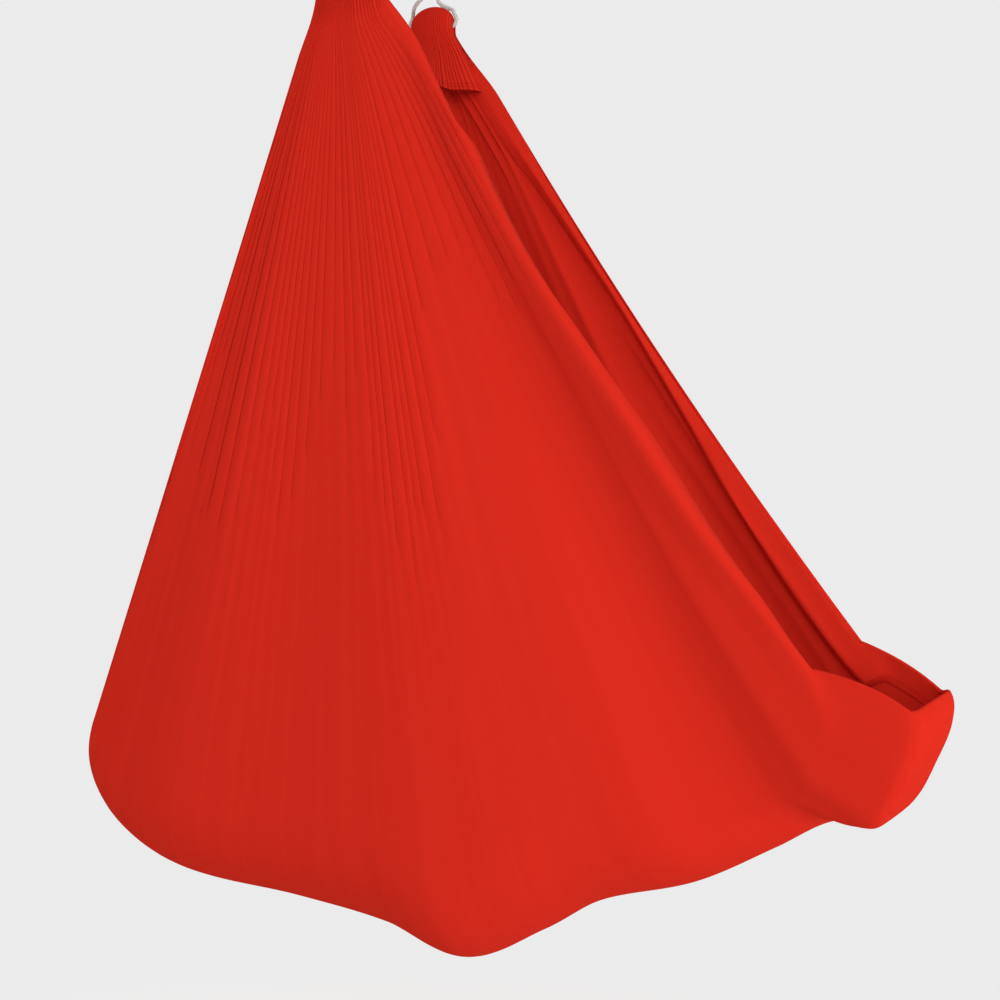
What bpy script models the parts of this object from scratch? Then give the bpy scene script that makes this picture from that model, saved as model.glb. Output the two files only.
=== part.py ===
"""Aerial yoga hammock: one cloth, gathered at both ends and hung as a cocoon from two ceiling plates.

Metres, +Z up. The origin is the centre of the front plate's top face. X runs along the bed with the
feet at +X, and Y runs from the front ceiling point to the back one.
"""
import math

import bmesh
import bpy
import numpy as np
from mathutils import Vector

# Gaps: between pieces that touch, between an end face and what it faces, and past a cut face
FIT = 0.0003
END_GAP = 0.0005
CUT_OVER = 0.002

# Ceiling plates, each a steel plate with a welded staple that the carabiner hangs on
POINT_SPACING = 0.380
PLATE_LENGTH = 0.116
PLATE_WIDTH = 0.060
PLATE_THICKNESS = 0.006
PLATE_CORNER = 0.010
SCREW_HOLE = 0.0085
SCREW_EDGE = 0.011
STAPLE_WIRE = 0.010
STAPLE_DROP = 0.034
STAPLE_OPENING = 0.044
STAPLE_BEND = 0.014
STAPLE_ROOT = 0.003

# Carabiners
RING_WIRE = 0.011
RING_WIDTH = 0.042
RING_LENGTH = 0.102
HINGE_RISE = 0.007
GATE_WIRE = 0.009
NOSE_LENGTH = 0.009
NOSE_SHOULDER = 0.0015
TONGUE_THICKNESS = 0.004
TONGUE_RADIUS = 0.0042
RIVET_WIRE = 0.003
RIVET_HEAD = 0.0046
RIVET_HEAD_HEIGHT = 0.0006
SPRING_BORE = 0.0056
SPRING_BORE_DEPTH = 0.014
SPRING_COIL = 0.0047
SPRING_WIRE = 0.0007
SPRING_TURNS = 5
SLEEVE_DIAMETER = 0.0135
SLEEVE_LENGTH = 0.020
SLEEVE_SETBACK = 0.002

# Webbing straps, one strip each, folded back and sewn at both ends
STRAP_WIDTH = 0.022
STRAP_THICKNESS = 0.0025
STRAP_LENGTH = 0.250
STRAP_LOOP = 0.016
STRAP_LOOP_TAPER = 0.024
STRAP_FOLD_BACK = 0.068
STRAP_CUP_EASE = 0.002

# Soft slings through the gathered cloth ends
SLING_CORD = 0.008
SLING_DROP = 0.100
SLING_RUN = 0.076
SLING_CORNER = 0.014
SLING_STRAIGHT = 0.012

# Cloth
CLOTH_THICKNESS_HEAD = 0.0028
CLOTH_THICKNESS_FOOT = 0.0010
HEAD_COVER = 0.045
HEAD_WIDTH = 0.092
HEAD_DEPTH = 0.058
HEAD_CROWN = 0.058
HEAD_HEIGHT = 0.170
HEAD_NECK = 0.012
HEAD_SPREAD = 0.6
GATHER_WIDTH = 0.034
CLOTH_START = 0.075
FRONT_EDGE_SAG = 0.125
BACK_EDGE_SAG = 0.085

# The bed: its length along X, how far its head end reaches to -X, and the drop from the cloth's
# gathered top to the seat
BED_LENGTH = 1.676
HEAD_REACH = 0.646
SEAT_DROP = 1.851

# The bed's lowest line seen along Y, from the edge over the head to the edge over the toes: the
# share of the bed's length, the rise above the seat, and half the width of the bed there
BED_LINE = (
    (0.020, 0.363, 0.125),
    (0.000, 0.268, 0.130),
    (0.041, 0.171, 0.150),
    (0.132, 0.103, 0.190),
    (0.288, 0.074, 0.190),
    (0.405, 0.045, 0.200),
    (0.494, 0.000, 0.205),
    (0.578, 0.065, 0.190),
    (0.642, 0.129, 0.170),
    (0.744, 0.179, 0.140),
    (0.862, 0.269, 0.112),
    (0.949, 0.317, 0.090),
    (0.990, 0.449, 0.080),
    (1.000, 0.531, 0.075),
)

# How finely the solids are divided
WIRE_SIDES = 10
CORD_SIDES = 8
BOW_STEPS = 12
BEND_STEPS = 6
CORNER_STEPS = 3
GATE_SIDES = 12
SLEEVE_SIDES = 14
SPRING_STEPS = 8
SPRING_SIDES = 4
STRAP_COLUMNS = 3
CLOTH_COLUMNS = 17
CURTAIN_ROWS = 11
BED_ROWS = 10
HEAD_RINGS = 9
HEAD_SIDES = 16

# Heights, from the ceiling down
staple_z = -(PLATE_THICKNESS + STAPLE_DROP)
upper_ring_z = staple_z + STAPLE_WIRE / 2 + FIT
upper_bow_z = upper_ring_z - RING_LENGTH
strap_top_z = upper_bow_z + FIT
strap_bottom_z = strap_top_z - STRAP_LENGTH
lower_ring_z = strap_bottom_z + FIT
lower_bow_z = lower_ring_z - RING_LENGTH
sling_top_z = lower_bow_z + FIT + SLING_CORD / 2
sling_bottom_z = sling_top_z - SLING_DROP
cloth_top_z = sling_bottom_z + HEAD_COVER

# Carabiner places, measured from the top of the ring's opening
ring_bow = (RING_WIDTH + RING_WIRE) / 2
bow_top_z = -RING_WIDTH / 2
bow_bottom_z = RING_WIDTH / 2 - RING_LENGTH
hinge_z = bow_bottom_z + HINGE_RISE
arm_z = hinge_z - GATE_WIRE / 2 - END_GAP
shoulder_z = bow_top_z - NOSE_SHOULDER
nose_z = shoulder_z - NOSE_LENGTH
gate_length = nose_z - END_GAP - hinge_z


def clear_scene():
    """Removes every object that the file starts with."""
    for thing in list(bpy.data.objects):
        bpy.data.objects.remove(thing, do_unlink=True)


def finish_material(name, colour, roughness, metallic):
    """A Principled material with one colour."""
    material = bpy.data.materials.new(name)
    material.use_nodes = True
    shader = material.node_tree.nodes["Principled BSDF"]
    shader.inputs["Base Color"].default_value = (*colour, 1.0)
    shader.inputs["Roughness"].default_value = roughness
    shader.inputs["Metallic"].default_value = metallic
    return material


def add_axis(name, place, parent=None):
    """An empty on a joint's axis, which the pieces of that body hang from."""
    axis = bpy.data.objects.new(name, None)
    axis.empty_display_size = 0.03
    bpy.context.collection.objects.link(axis)
    axis.parent = parent
    axis.location = Vector(place) - (world_place(parent) if parent else Vector())
    return axis


def world_place(thing):
    """Where an unturned object stands, adding up the places of those it hangs from."""
    place = Vector(thing.location)
    while thing.parent:
        thing = thing.parent
        place += thing.location
    return place


def add_piece(name, mesh, place, parent, material):
    """One named piece at its place in the world, carried by its body's axis."""
    piece = bpy.data.objects.new(name, mesh)
    bpy.context.collection.objects.link(piece)
    piece.parent = parent
    piece.location = Vector(place) - world_place(parent)
    if not mesh.materials:
        mesh.materials.append(material)
    return piece


def mesh_from(name, points, faces, smooth_angle=None):
    """A mesh from its points and faces, with the faces turned outwards."""
    mesh = bpy.data.meshes.new(name)
    mesh.from_pydata([tuple(p) for p in points], [], faces)
    shape = bmesh.new()
    shape.from_mesh(mesh)
    bmesh.ops.recalc_face_normals(shape, faces=shape.faces)
    shape.to_mesh(mesh)
    shape.free()
    if smooth_angle:
        mesh.shade_smooth()
        mesh.set_sharp_from_angle(angle=math.radians(smooth_angle))
    return mesh


def lofted(name, rings, closed=False, smooth_angle=40):
    """A solid through rings of equally many points: capped at both ends, or joined up."""
    count = len(rings)
    sides = len(rings[0])
    points = [p for ring in rings for p in ring]
    faces = []
    for i in range(count if closed else count - 1):
        for j in range(sides):
            a = i * sides
            b = (i + 1) % count * sides
            k = (j + 1) % sides
            faces.append((a + j, a + k, b + k, b + j))
    if not closed:
        faces.append(tuple(range(sides)))
        faces.append(tuple(range((count - 1) * sides, count * sides)))
    return mesh_from(name, points, faces, smooth_angle)


def ring_around(centre, side, up, radius, sides):
    """Points on a circle around centre, in the plane of the unit vectors side and up."""
    turns = [2 * math.pi * (k + 0.5) / sides for k in range(sides)]
    return [centre + radius * (math.cos(t) * side + math.sin(t) * up) for t in turns]


def flat_tube(name, path, radii, normal, sides):
    """A round wire along an open path in one plane, whose unit normal is given."""
    normal = Vector(normal)
    rings = []
    for i, point in enumerate(path):
        ahead = path[min(i + 1, len(path) - 1)]
        behind = path[max(i - 1, 0)]
        side = (ahead - behind).normalized().cross(normal)
        rings.append(ring_around(point, side, normal, radii[i], sides))
    return lofted(name, rings)


def closed_tube(name, path, radius, sides):
    """A round cord along a closed path: each ring is carried on from the last without twist."""
    count = len(path)
    tangents = [(path[(i + 1) % count] - path[i - 1]).normalized() for i in range(count)]
    side = tangents[0].cross(Vector((0, 0, 1)))
    if side.length < 0.1:
        side = tangents[0].cross(Vector((1, 0, 0)))
    side.normalize()
    frames = [side]
    for i in range(1, count + 1):
        turn = tangents[i - 1].rotation_difference(tangents[i % count])
        side = turn @ side
        frames.append(side)
    back = frames[0].cross(tangents[0])
    slip = math.atan2(frames[-1].dot(back), frames[-1].dot(frames[0]))
    rings = []
    for i in range(count):
        tangent = tangents[i]
        side = frames[i]
        up = side.cross(tangent)
        spin = -slip * i / count
        turned = math.cos(spin) * side + math.sin(spin) * up
        rings.append(ring_around(path[i], turned, turned.cross(tangent), radius, sides))
    return lofted(name, rings, closed=True)


def block(name, low, high):
    """A box between two corners."""
    points = [(x, y, z) for z in (low[2], high[2]) for y in (low[1], high[1]) for x in (low[0], high[0])]
    faces = [(0, 1, 3, 2), (4, 5, 7, 6), (0, 1, 5, 4), (2, 3, 7, 6), (0, 2, 6, 4), (1, 3, 7, 5)]
    return mesh_from(name, points, faces)


def rod(name, start, end, radius, sides=WIRE_SIDES):
    """A round rod between two points along X, Y or Z."""
    start, end = Vector(start), Vector(end)
    along = (end - start).normalized()
    side = along.orthogonal().normalized()
    up = along.cross(side)
    rings = [ring_around(p, side, up, radius, sides) for p in (start, end)]
    return lofted(name, rings)


def combine(base, tools):
    """The mesh that is left after each (operation, mesh) of tools has worked on base."""
    work = bpy.data.objects.new("work", base)
    bpy.context.collection.objects.link(work)
    cutters = []
    for operation, mesh in tools:
        cutter = bpy.data.objects.new("cutter", mesh)
        cutter.hide_render = True
        cutter.display_type = "WIRE"
        bpy.context.collection.objects.link(cutter)
        cutters.append(cutter)
        step = work.modifiers.new(operation.lower(), "BOOLEAN")
        step.operation = operation
        step.object = cutter
    bpy.context.view_layer.update()
    evaluated = work.evaluated_get(bpy.context.evaluated_depsgraph_get())
    result = bpy.data.meshes.new_from_object(evaluated)
    result.name = base.name
    for thing in (work, *cutters):
        bpy.data.objects.remove(thing, do_unlink=True)
    result.set_sharp_from_angle(angle=math.radians(40))
    return result


def arc(centre, radius, start, end, steps):
    """Points on an arc in the X-Z plane, from start to end degrees."""
    angles = [math.radians(start + (end - start) * k / steps) for k in range(steps + 1)]
    return [centre + radius * Vector((math.cos(a), 0, math.sin(a))) for a in angles]


def plate_mesh():
    """The ceiling plate with its screw holes and welded staple, top face at z = 0."""
    outline = []
    for x, y, start in ((1, 1, 0), (-1, 1, 90), (-1, -1, 180), (1, -1, 270)):
        centre_x = x * (PLATE_WIDTH / 2 - PLATE_CORNER)
        centre_y = y * (PLATE_LENGTH / 2 - PLATE_CORNER)
        for k in range(CORNER_STEPS + 1):
            a = math.radians(start + 90 * k / CORNER_STEPS)
            outline.append((centre_x + PLATE_CORNER * math.cos(a), centre_y + PLATE_CORNER * math.sin(a)))
    rings = [[Vector((x, y, z)) for x, y in outline] for z in (-PLATE_THICKNESS, 0)]
    plate = lofted("ceiling_plate", rings, smooth_angle=30)

    leg_y = (STAPLE_OPENING + STAPLE_WIRE) / 2
    bend = [Vector((0, leg_y - STAPLE_BEND + p.x, staple_z + STAPLE_BEND + p.z))
            for p in arc(Vector(), STAPLE_BEND, 0, -90, BEND_STEPS)]
    half = [Vector((0, leg_y, STAPLE_ROOT - PLATE_THICKNESS))] + bend
    path = half + [Vector((0, -p.y, p.z)) for p in reversed(half)]
    staple = flat_tube("staple", path, [STAPLE_WIRE / 2] * len(path), (1, 0, 0), WIRE_SIDES)

    tools = [("UNION", staple)]
    for x in (-1, 1):
        for y in (-1, 1):
            place = Vector((x * (PLATE_WIDTH / 2 - SCREW_EDGE), y * (PLATE_LENGTH / 2 - SCREW_EDGE), 0))
            low = place - Vector((0, 0, PLATE_THICKNESS + CUT_OVER))
            high = place + Vector((0, 0, CUT_OVER))
            tools.append(("DIFFERENCE", rod("screw_hole", low, high, SCREW_HOLE / 2)))
    return combine(plate, tools)


def ring_mesh():
    """The carabiner's frame in the X-Z plane, gate side at +X, top of its opening at z = 0."""
    path = [Vector((ring_bow, 0, arm_z))]
    path += arc(Vector((0, 0, bow_bottom_z)), ring_bow, 0, -180, BOW_STEPS)
    path += arc(Vector((0, 0, bow_top_z)), ring_bow, 180, 0, BOW_STEPS)
    radii = [RING_WIRE / 2] * len(path)
    path += [Vector((ring_bow, 0, z)) for z in (shoulder_z, shoulder_z - FIT, nose_z)]
    radii += [RING_WIRE / 2, GATE_WIRE / 2, GATE_WIRE / 2]
    frame = flat_tube("carabiner_frame", path, radii, (0, 1, 0), WIRE_SIDES)

    top_of_tongue = arc(Vector((ring_bow, 0, hinge_z)), TONGUE_RADIUS, 0, 180, BEND_STEPS)
    root = [Vector((ring_bow + x, 0, arm_z - CUT_OVER)) for x in (-TONGUE_RADIUS, TONGUE_RADIUS)]
    shape = top_of_tongue + root
    half = Vector((0, TONGUE_THICKNESS / 2, 0))
    tongue = lofted("tongue", [[p - half for p in shape], [p + half for p in shape]])
    pin = Vector((ring_bow, 0, hinge_z))
    reach = Vector((0, RING_WIRE, 0))
    hole = rod("rivet_hole", pin - reach, pin + reach, RIVET_WIRE / 2 + FIT)
    return combine(frame, [("UNION", tongue), ("DIFFERENCE", hole)])


def gate_mesh():
    """The gate with its fork, rivet hole and spring bore, standing on its hinge axis at the origin."""
    radius = GATE_WIRE / 2
    foot = Vector((0, 0, -radius - CUT_OVER))
    tip = Vector((0, 0, gate_length))
    body = rod("carabiner_gate", foot, tip, radius, GATE_SIDES)
    shape = arc(Vector(), radius, 180, 360, BEND_STEPS)
    wide = Vector((radius + CUT_OVER, 0, 0))
    tall = Vector((0, 0, gate_length + CUT_OVER))
    shape += [wide, wide + tall, tall - wide, -wide]
    depth = Vector((0, GATE_WIRE, 0))
    rounding = lofted("rounding", [[p - depth for p in shape], [p + depth for p in shape]])
    slot_y = TONGUE_THICKNESS / 2 + FIT
    slot_z = TONGUE_RADIUS + END_GAP
    slot = block("slot", (-GATE_WIRE, -slot_y, -GATE_WIRE), (GATE_WIRE, slot_y, slot_z))
    hole = rod("rivet_hole", -depth, depth, RIVET_WIRE / 2 + FIT)
    bore_top = Vector((0, 0, slot_z + SPRING_BORE_DEPTH))
    bore = rod("spring_bore", Vector((0, 0, slot_z - CUT_OVER)), bore_top, SPRING_BORE / 2)
    return combine(body, [("INTERSECT", rounding), ("DIFFERENCE", slot), ("DIFFERENCE", hole),
                          ("DIFFERENCE", bore)])


def rivet_mesh():
    """The hinge rivet along Y, with a flat head at each end outside the gate's fork."""
    shank = GATE_WIRE / 2 + FIT
    end = shank + RIVET_HEAD_HEIGHT
    profile = [(-end, RIVET_HEAD / 2), (-shank, RIVET_HEAD / 2), (-shank, RIVET_WIRE / 2),
               (shank, RIVET_WIRE / 2), (shank, RIVET_HEAD / 2), (end, RIVET_HEAD / 2)]
    rings = [ring_around(Vector((0, y, 0)), Vector((1, 0, 0)), Vector((0, 0, 1)), r, WIRE_SIDES)
             for y, r in profile]
    return lofted("carabiner_rivet", rings)


def spring_mesh():
    """The gate's return spring, a coil between the tongue's round top and the end of its bore."""
    wire = SPRING_WIRE / 2
    low = TONGUE_RADIUS + FIT + wire
    high = TONGUE_RADIUS + END_GAP + SPRING_BORE_DEPTH - FIT - wire
    coil = SPRING_COIL / 2 - wire
    steps = SPRING_STEPS * SPRING_TURNS
    rings = []
    for k in range(steps + 1):
        a = 2 * math.pi * SPRING_TURNS * k / steps
        out = Vector((math.cos(a), math.sin(a), 0))
        centre = coil * out + Vector((0, 0, low + (high - low) * k / steps))
        rings.append(ring_around(centre, out, Vector((0, 0, 1)), wire, SPRING_SIDES))
    return lofted("carabiner_spring", rings)


def sleeve_mesh():
    """The screw sleeve, a tube around the gate's rod, its lower end at the origin."""
    outer = SLEEVE_DIAMETER / 2
    inner = GATE_WIRE / 2 + FIT
    profile = [(outer, 0), (outer, SLEEVE_LENGTH), (inner, SLEEVE_LENGTH), (inner, 0)]
    across = Vector((1, 0, 0))
    along = Vector((0, 1, 0))
    rings = [ring_around(Vector((0, 0, z)), across, along, r, SLEEVE_SIDES) for r, z in profile]
    return lofted("carabiner_sleeve", rings, closed=True)


def strap_side():
    """The strap's middle line in the Y-Z plane, from one folded end round both loops to the other."""
    ply = (STRAP_THICKNESS + FIT) / 2
    loop = (STRAP_LOOP + STRAP_THICKNESS) / 2
    centre = -STRAP_LOOP / 2
    leg = [(ply, centre - STRAP_FOLD_BACK), (ply, centre - STRAP_LOOP_TAPER),
           ((ply + loop) / 2, centre - STRAP_LOOP_TAPER / 2), (loop, centre)]
    turns = [math.pi * k / BEND_STEPS for k in range(1, BEND_STEPS)]
    bow = [(loop * math.cos(a), centre + loop * math.sin(a)) for a in turns]
    upper = leg + bow + [(-y, z) for y, z in reversed(leg[1:])]
    return upper + [(y, -STRAP_LENGTH - z) for y, z in reversed(upper)]


def strap_mesh():
    """One strip of webbing folded back at both ends, cupped to sit in the round bows and sway there."""
    path = strap_side()
    bend = RING_WIDTH / 2 - STRAP_CUP_EASE
    columns = [STRAP_WIDTH * (k / STRAP_COLUMNS - 0.5) for k in range(STRAP_COLUMNS + 1)]
    reach = STRAP_LOOP / 2 + STRAP_LOOP_TAPER
    rings = []
    for i, (y, z) in enumerate(path):
        ahead = path[min(i + 1, len(path) - 1)]
        behind = path[max(i - 1, 0)]
        along = Vector((0, ahead[0] - behind[0], ahead[1] - behind[1])).normalized()
        across = along.cross(Vector((1, 0, 0))) * STRAP_THICKNESS / 2
        top_share = min(1.0, max(0.0, 1 + z / reach))
        low_share = min(1.0, max(0.0, 1 - (z + STRAP_LENGTH) / reach))
        row = []
        for x in columns:
            cup = (bend - math.sqrt(bend * bend - x * x)) * (top_share - low_share)
            row.append(Vector((x, y, z + cup)))
        rings.append([p + across for p in row] + [p - across for p in reversed(row)])
    return lofted("webbing_strap", rings, smooth_angle=50)


def sling_path():
    """The sling's closed middle line, from the carabiner's bow at z = 0 down through the cloth."""
    top_radius = (RING_WIRE + SLING_CORD) / 2 + FIT
    corner_steps = BEND_STEPS - 2
    leg_steps = BEND_STEPS
    top = np.array((0.0, -top_radius))
    corner = np.array((SLING_RUN / 2, SLING_CORNER - SLING_DROP))
    way = top - corner
    length = np.linalg.norm(way)
    way = way / length
    lean = (SLING_CORNER - top_radius) / length
    outward = way * lean + np.array((way[1], -way[0])) * math.sqrt(1 - lean * lean)
    turn = math.degrees(math.atan2(outward[1], outward[0]))
    line = [(0.0, -SLING_DROP), (SLING_RUN / 4, -SLING_DROP)]
    for k in range(corner_steps + 1):
        a = math.radians(-90 + (turn + 90) * k / corner_steps)
        line.append((corner[0] + SLING_CORNER * math.cos(a), corner[1] + SLING_CORNER * math.sin(a)))
    start = corner + SLING_CORNER * outward
    end = top + top_radius * outward
    line += [tuple(start + (end - start) * k / leg_steps) for k in range(1, leg_steps)]
    for k in range(corner_steps):
        a = math.radians(turn + (90 - turn) * k / corner_steps)
        line.append((top_radius * math.cos(a), top[1] + top_radius * math.sin(a)))
    high = -2 * top_radius - SLING_STRAIGHT
    low = SLING_CORNER - SLING_DROP + SLING_STRAIGHT
    half = []
    for out, z in line:
        f = min(1.0, max(0.0, (z - low) / (high - low)))
        twist = math.pi / 2 * f * f * (3 - 2 * f)
        half.append(Vector((out * math.cos(twist), out * math.sin(twist), z)))
    crest = Vector((0, 0, 0))
    return half + [crest] + [Vector((-p.x, -p.y, p.z)) for p in reversed(half[1:])]


def smooth_curve(points, share):
    """The point at a share of the way along a smooth curve through a list of points."""
    points = np.array(points)
    steps = np.linalg.norm(np.diff(points[:, :2], axis=0), axis=1)
    marks = np.concatenate(([0.0], np.cumsum(steps)))
    along = share * marks[-1]
    i = int(min(max(np.searchsorted(marks, along) - 1, 0), len(points) - 2))
    before = points[max(i - 1, 0)]
    after = points[min(i + 2, len(points) - 1)]
    f = (along - marks[i]) / (marks[i + 1] - marks[i])
    a, b = points[i], points[i + 1]
    gap = marks[i + 1] - marks[i]
    start = (b - before) / (marks[i + 1] - marks[max(i - 1, 0)]) * gap
    end = (after - a) / (marks[min(i + 2, len(points) - 1)] - marks[i]) * gap
    return ((2 * f ** 3 - 3 * f ** 2 + 1) * a + (f ** 3 - 2 * f ** 2 + f) * start
            + (3 * f ** 2 - 2 * f ** 3) * b + (f ** 3 - f ** 2) * end)


def bed_places():
    """The bed's line as reach along X, drop below the cloth's gathered top, and half width."""
    return [(BED_LENGTH * along - HEAD_REACH, SEAT_DROP - rise, half) for along, rise, half in BED_LINE]


def cloth_column(share):
    """The cloth's middle line at a share of its width: front curtain, bed and back curtain."""
    reach, drop, half_width = smooth_curve(bed_places(), share)
    gather = GATHER_WIDTH * (share - 0.5)
    ray = np.array((reach - gather, drop))
    length = np.linalg.norm(ray)
    ray = ray / length
    inward = np.array((-ray[1], ray[0]))
    share_of_sag = max(0.0, 2 * share - 1) ** 4
    start = CLOTH_START / ray[1]
    wall = length - half_width
    side = []
    for k in range(CURTAIN_ROWS):
        f = k / CURTAIN_ROWS
        side.append((start + (wall - start) * f, (POINT_SPACING / 2 - half_width) * f, f * (2 - f)))
    for k in range(BED_ROWS // 2 + 1):
        a = math.pi * k / BED_ROWS
        y = POINT_SPACING / 2 - half_width * math.cos(a)
        side.append((wall + half_width * math.sin(a), y, 1 - math.sin(a)))
    front = [(along, y, bow * FRONT_EDGE_SAG) for along, y, bow in side]
    back = [(along, POINT_SPACING - y, bow * BACK_EDGE_SAG) for along, y, bow in side]
    places = []
    for along, y, bow in front + back[-2::-1]:
        x, down = ray * along + inward * bow * share_of_sag
        places.append((gather + x, y, -down))
    return places


def cloth_shell():
    """The cloth as a thin closed shell, thicker towards the head where it lies in pleats."""
    shares = [k / CLOTH_COLUMNS for k in range(CLOTH_COLUMNS + 1)]
    grid = np.array([cloth_column(s) for s in shares])
    normals = np.cross(np.gradient(grid, axis=0), np.gradient(grid, axis=1))
    normals /= np.linalg.norm(normals, axis=2, keepdims=True)
    thinning = CLOTH_THICKNESS_FOOT - CLOTH_THICKNESS_HEAD
    thickness = np.array([CLOTH_THICKNESS_HEAD + thinning * s for s in shares])
    offset = normals * thickness[:, None, None] / 2
    columns, rows = grid.shape[:2]
    skin = columns * rows
    points = np.concatenate(((grid + offset).reshape(-1, 3), (grid - offset).reshape(-1, 3)))
    faces = []
    for i in range(columns - 1):
        for j in range(rows - 1):
            a = i * rows + j
            outer = (a, a + 1, a + 1 + rows, a + rows)
            faces += [outer, tuple(skin + k for k in reversed(outer))]
    rim = [(i * rows, (i + 1) * rows) for i in range(columns - 1)]
    rim += [(a + rows - 1, b + rows - 1) for a, b in rim]
    rim += [(j, j + 1) for j in range(rows - 1)]
    rim += [((columns - 1) * rows + j, (columns - 1) * rows + j + 1) for j in range(rows - 1)]
    faces += [(a, b, skin + b, skin + a) for a, b in rim]
    return mesh_from("hammock_cloth", points, faces, smooth_angle=50)


def gathered_head(y):
    """One bunched end of the cloth: a rounded crown that thins out into the curtain below it."""
    head_edge, foot_edge = bed_places()[0], bed_places()[-1]
    left = -head_edge[0] / head_edge[1]
    right = foot_edge[0] / foot_edge[1]
    rings = []
    for k in range(HEAD_RINGS):
        f = (k + 0.25) / (HEAD_RINGS - 0.75)
        down = HEAD_HEIGHT * f * f
        crown = math.sqrt(1 - (1 - min(down / HEAD_CROWN, 1.0)) ** 2)
        below = max(0.0, down - HEAD_CROWN)
        fade = below / (HEAD_HEIGHT - HEAD_CROWN)
        neck = fade * fade * (3 - 2 * fade)
        half_width = HEAD_WIDTH / 2 * crown + below * (left + right) / 2 * HEAD_SPREAD
        half_depth = (HEAD_DEPTH * crown * (1 - neck) + HEAD_NECK * neck) / 2
        centre_x = below * (right - left) / 2
        ring = []
        for j in range(HEAD_SIDES):
            a = 2 * math.pi * (j + 0.5) / HEAD_SIDES
            ring.append(Vector((centre_x + half_width * math.cos(a), y + half_depth * math.sin(a), -down)))
        rings.append(ring)
    return lofted("gathered_head", rings)


def cloth_mesh():
    """The whole cloth: the shell, its two bunched ends and a tunnel through each for its sling."""
    tools = []
    for y in (0.0, POINT_SPACING):
        tools.append(("UNION", gathered_head(y)))
    for y in (0.0, POINT_SPACING):
        path = [p + Vector((0, y, sling_top_z - cloth_top_z)) for p in sling_path()]
        tools.append(("DIFFERENCE", closed_tube("tunnel", path, SLING_CORD / 2 + FIT, CORD_SIDES)))
    return combine(cloth_shell(), tools)


def build():
    """Every piece at its place, hanging from the axis of the body that it moves with."""
    clear_scene()
    steel = finish_material("zinc_plated_steel", (0.55, 0.56, 0.58), 0.35, 1.0)
    alloy = finish_material("dark_anodised_alloy", (0.08, 0.08, 0.09), 0.35, 0.9)
    spring_steel = finish_material("spring_steel", (0.50, 0.50, 0.50), 0.30, 1.0)
    sleeve_alloy = finish_material("knurled_sleeve_alloy", (0.14, 0.14, 0.15), 0.45, 0.9)
    webbing = finish_material("black_webbing", (0.03, 0.03, 0.03), 0.80, 0.0)
    rope = finish_material("pale_sling_rope", (0.72, 0.72, 0.70), 0.75, 0.0)
    tricot = finish_material("red_nylon_tricot", (0.66, 0.02, 0.013), 0.60, 0.0)

    plate, ring, gate = plate_mesh(), ring_mesh(), gate_mesh()
    rivet, spring, sleeve = rivet_mesh(), spring_mesh(), sleeve_mesh()
    strap = strap_mesh()
    sling = closed_tube("soft_sling", sling_path(), SLING_CORD / 2, CORD_SIDES)

    ceiling = add_axis("ceiling_point_origin", (0, 0, 0))
    swing = add_axis("swing_axis", (0, 0, staple_z), ceiling)
    strap_axis_z = upper_bow_z - RING_WIRE / 2
    level_z = lower_ring_z + RING_WIRE / 2
    axes = {
        "front": add_axis("front_strap_axis", (0, 0, strap_axis_z), swing),
        "back": add_axis("back_strap_axis", (0, POINT_SPACING, strap_axis_z), swing),
    }
    level = add_axis("hammock_level_axis", (0, 0, level_z), axes["front"])

    for side, y in (("front", 0.0), ("back", POINT_SPACING)):
        add_piece(side + "_ceiling_plate", plate, (0, y, 0), ceiling, steel)
        add_piece(side + "_webbing_strap", strap, (0, y, strap_top_z), axes[side], webbing)
        add_piece(side + "_sling", sling, (0, y, sling_top_z), level, rope)
        for tier, top, carrier in (("upper", upper_ring_z, swing), ("lower", lower_ring_z, level)):
            name = side + "_" + tier + "_carabiner"
            hinge = Vector((ring_bow, y, top + hinge_z))
            add_piece(name + "_frame", ring, (0, y, top), carrier, alloy)
            add_piece(name + "_rivet", rivet, hinge, carrier, steel)
            turning = add_piece(name + "_gate", gate, hinge, carrier, alloy)
            add_piece(name + "_spring", spring, hinge, turning, spring_steel)
            rest = hinge + Vector((0, 0, gate_length - SLEEVE_SETBACK - SLEEVE_LENGTH))
            add_piece(name + "_sleeve", sleeve, rest, turning, sleeve_alloy)
    add_piece("hammock_cloth", cloth_mesh(), (0, 0, cloth_top_z), level, tricot)


build()
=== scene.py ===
"""Aerial yoga hammock: the finish of the fittings, and the gathered tricot cloth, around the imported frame."""

import math

import bmesh
import bpy
import numpy as np
from mathutils import Matrix, Vector


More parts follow.
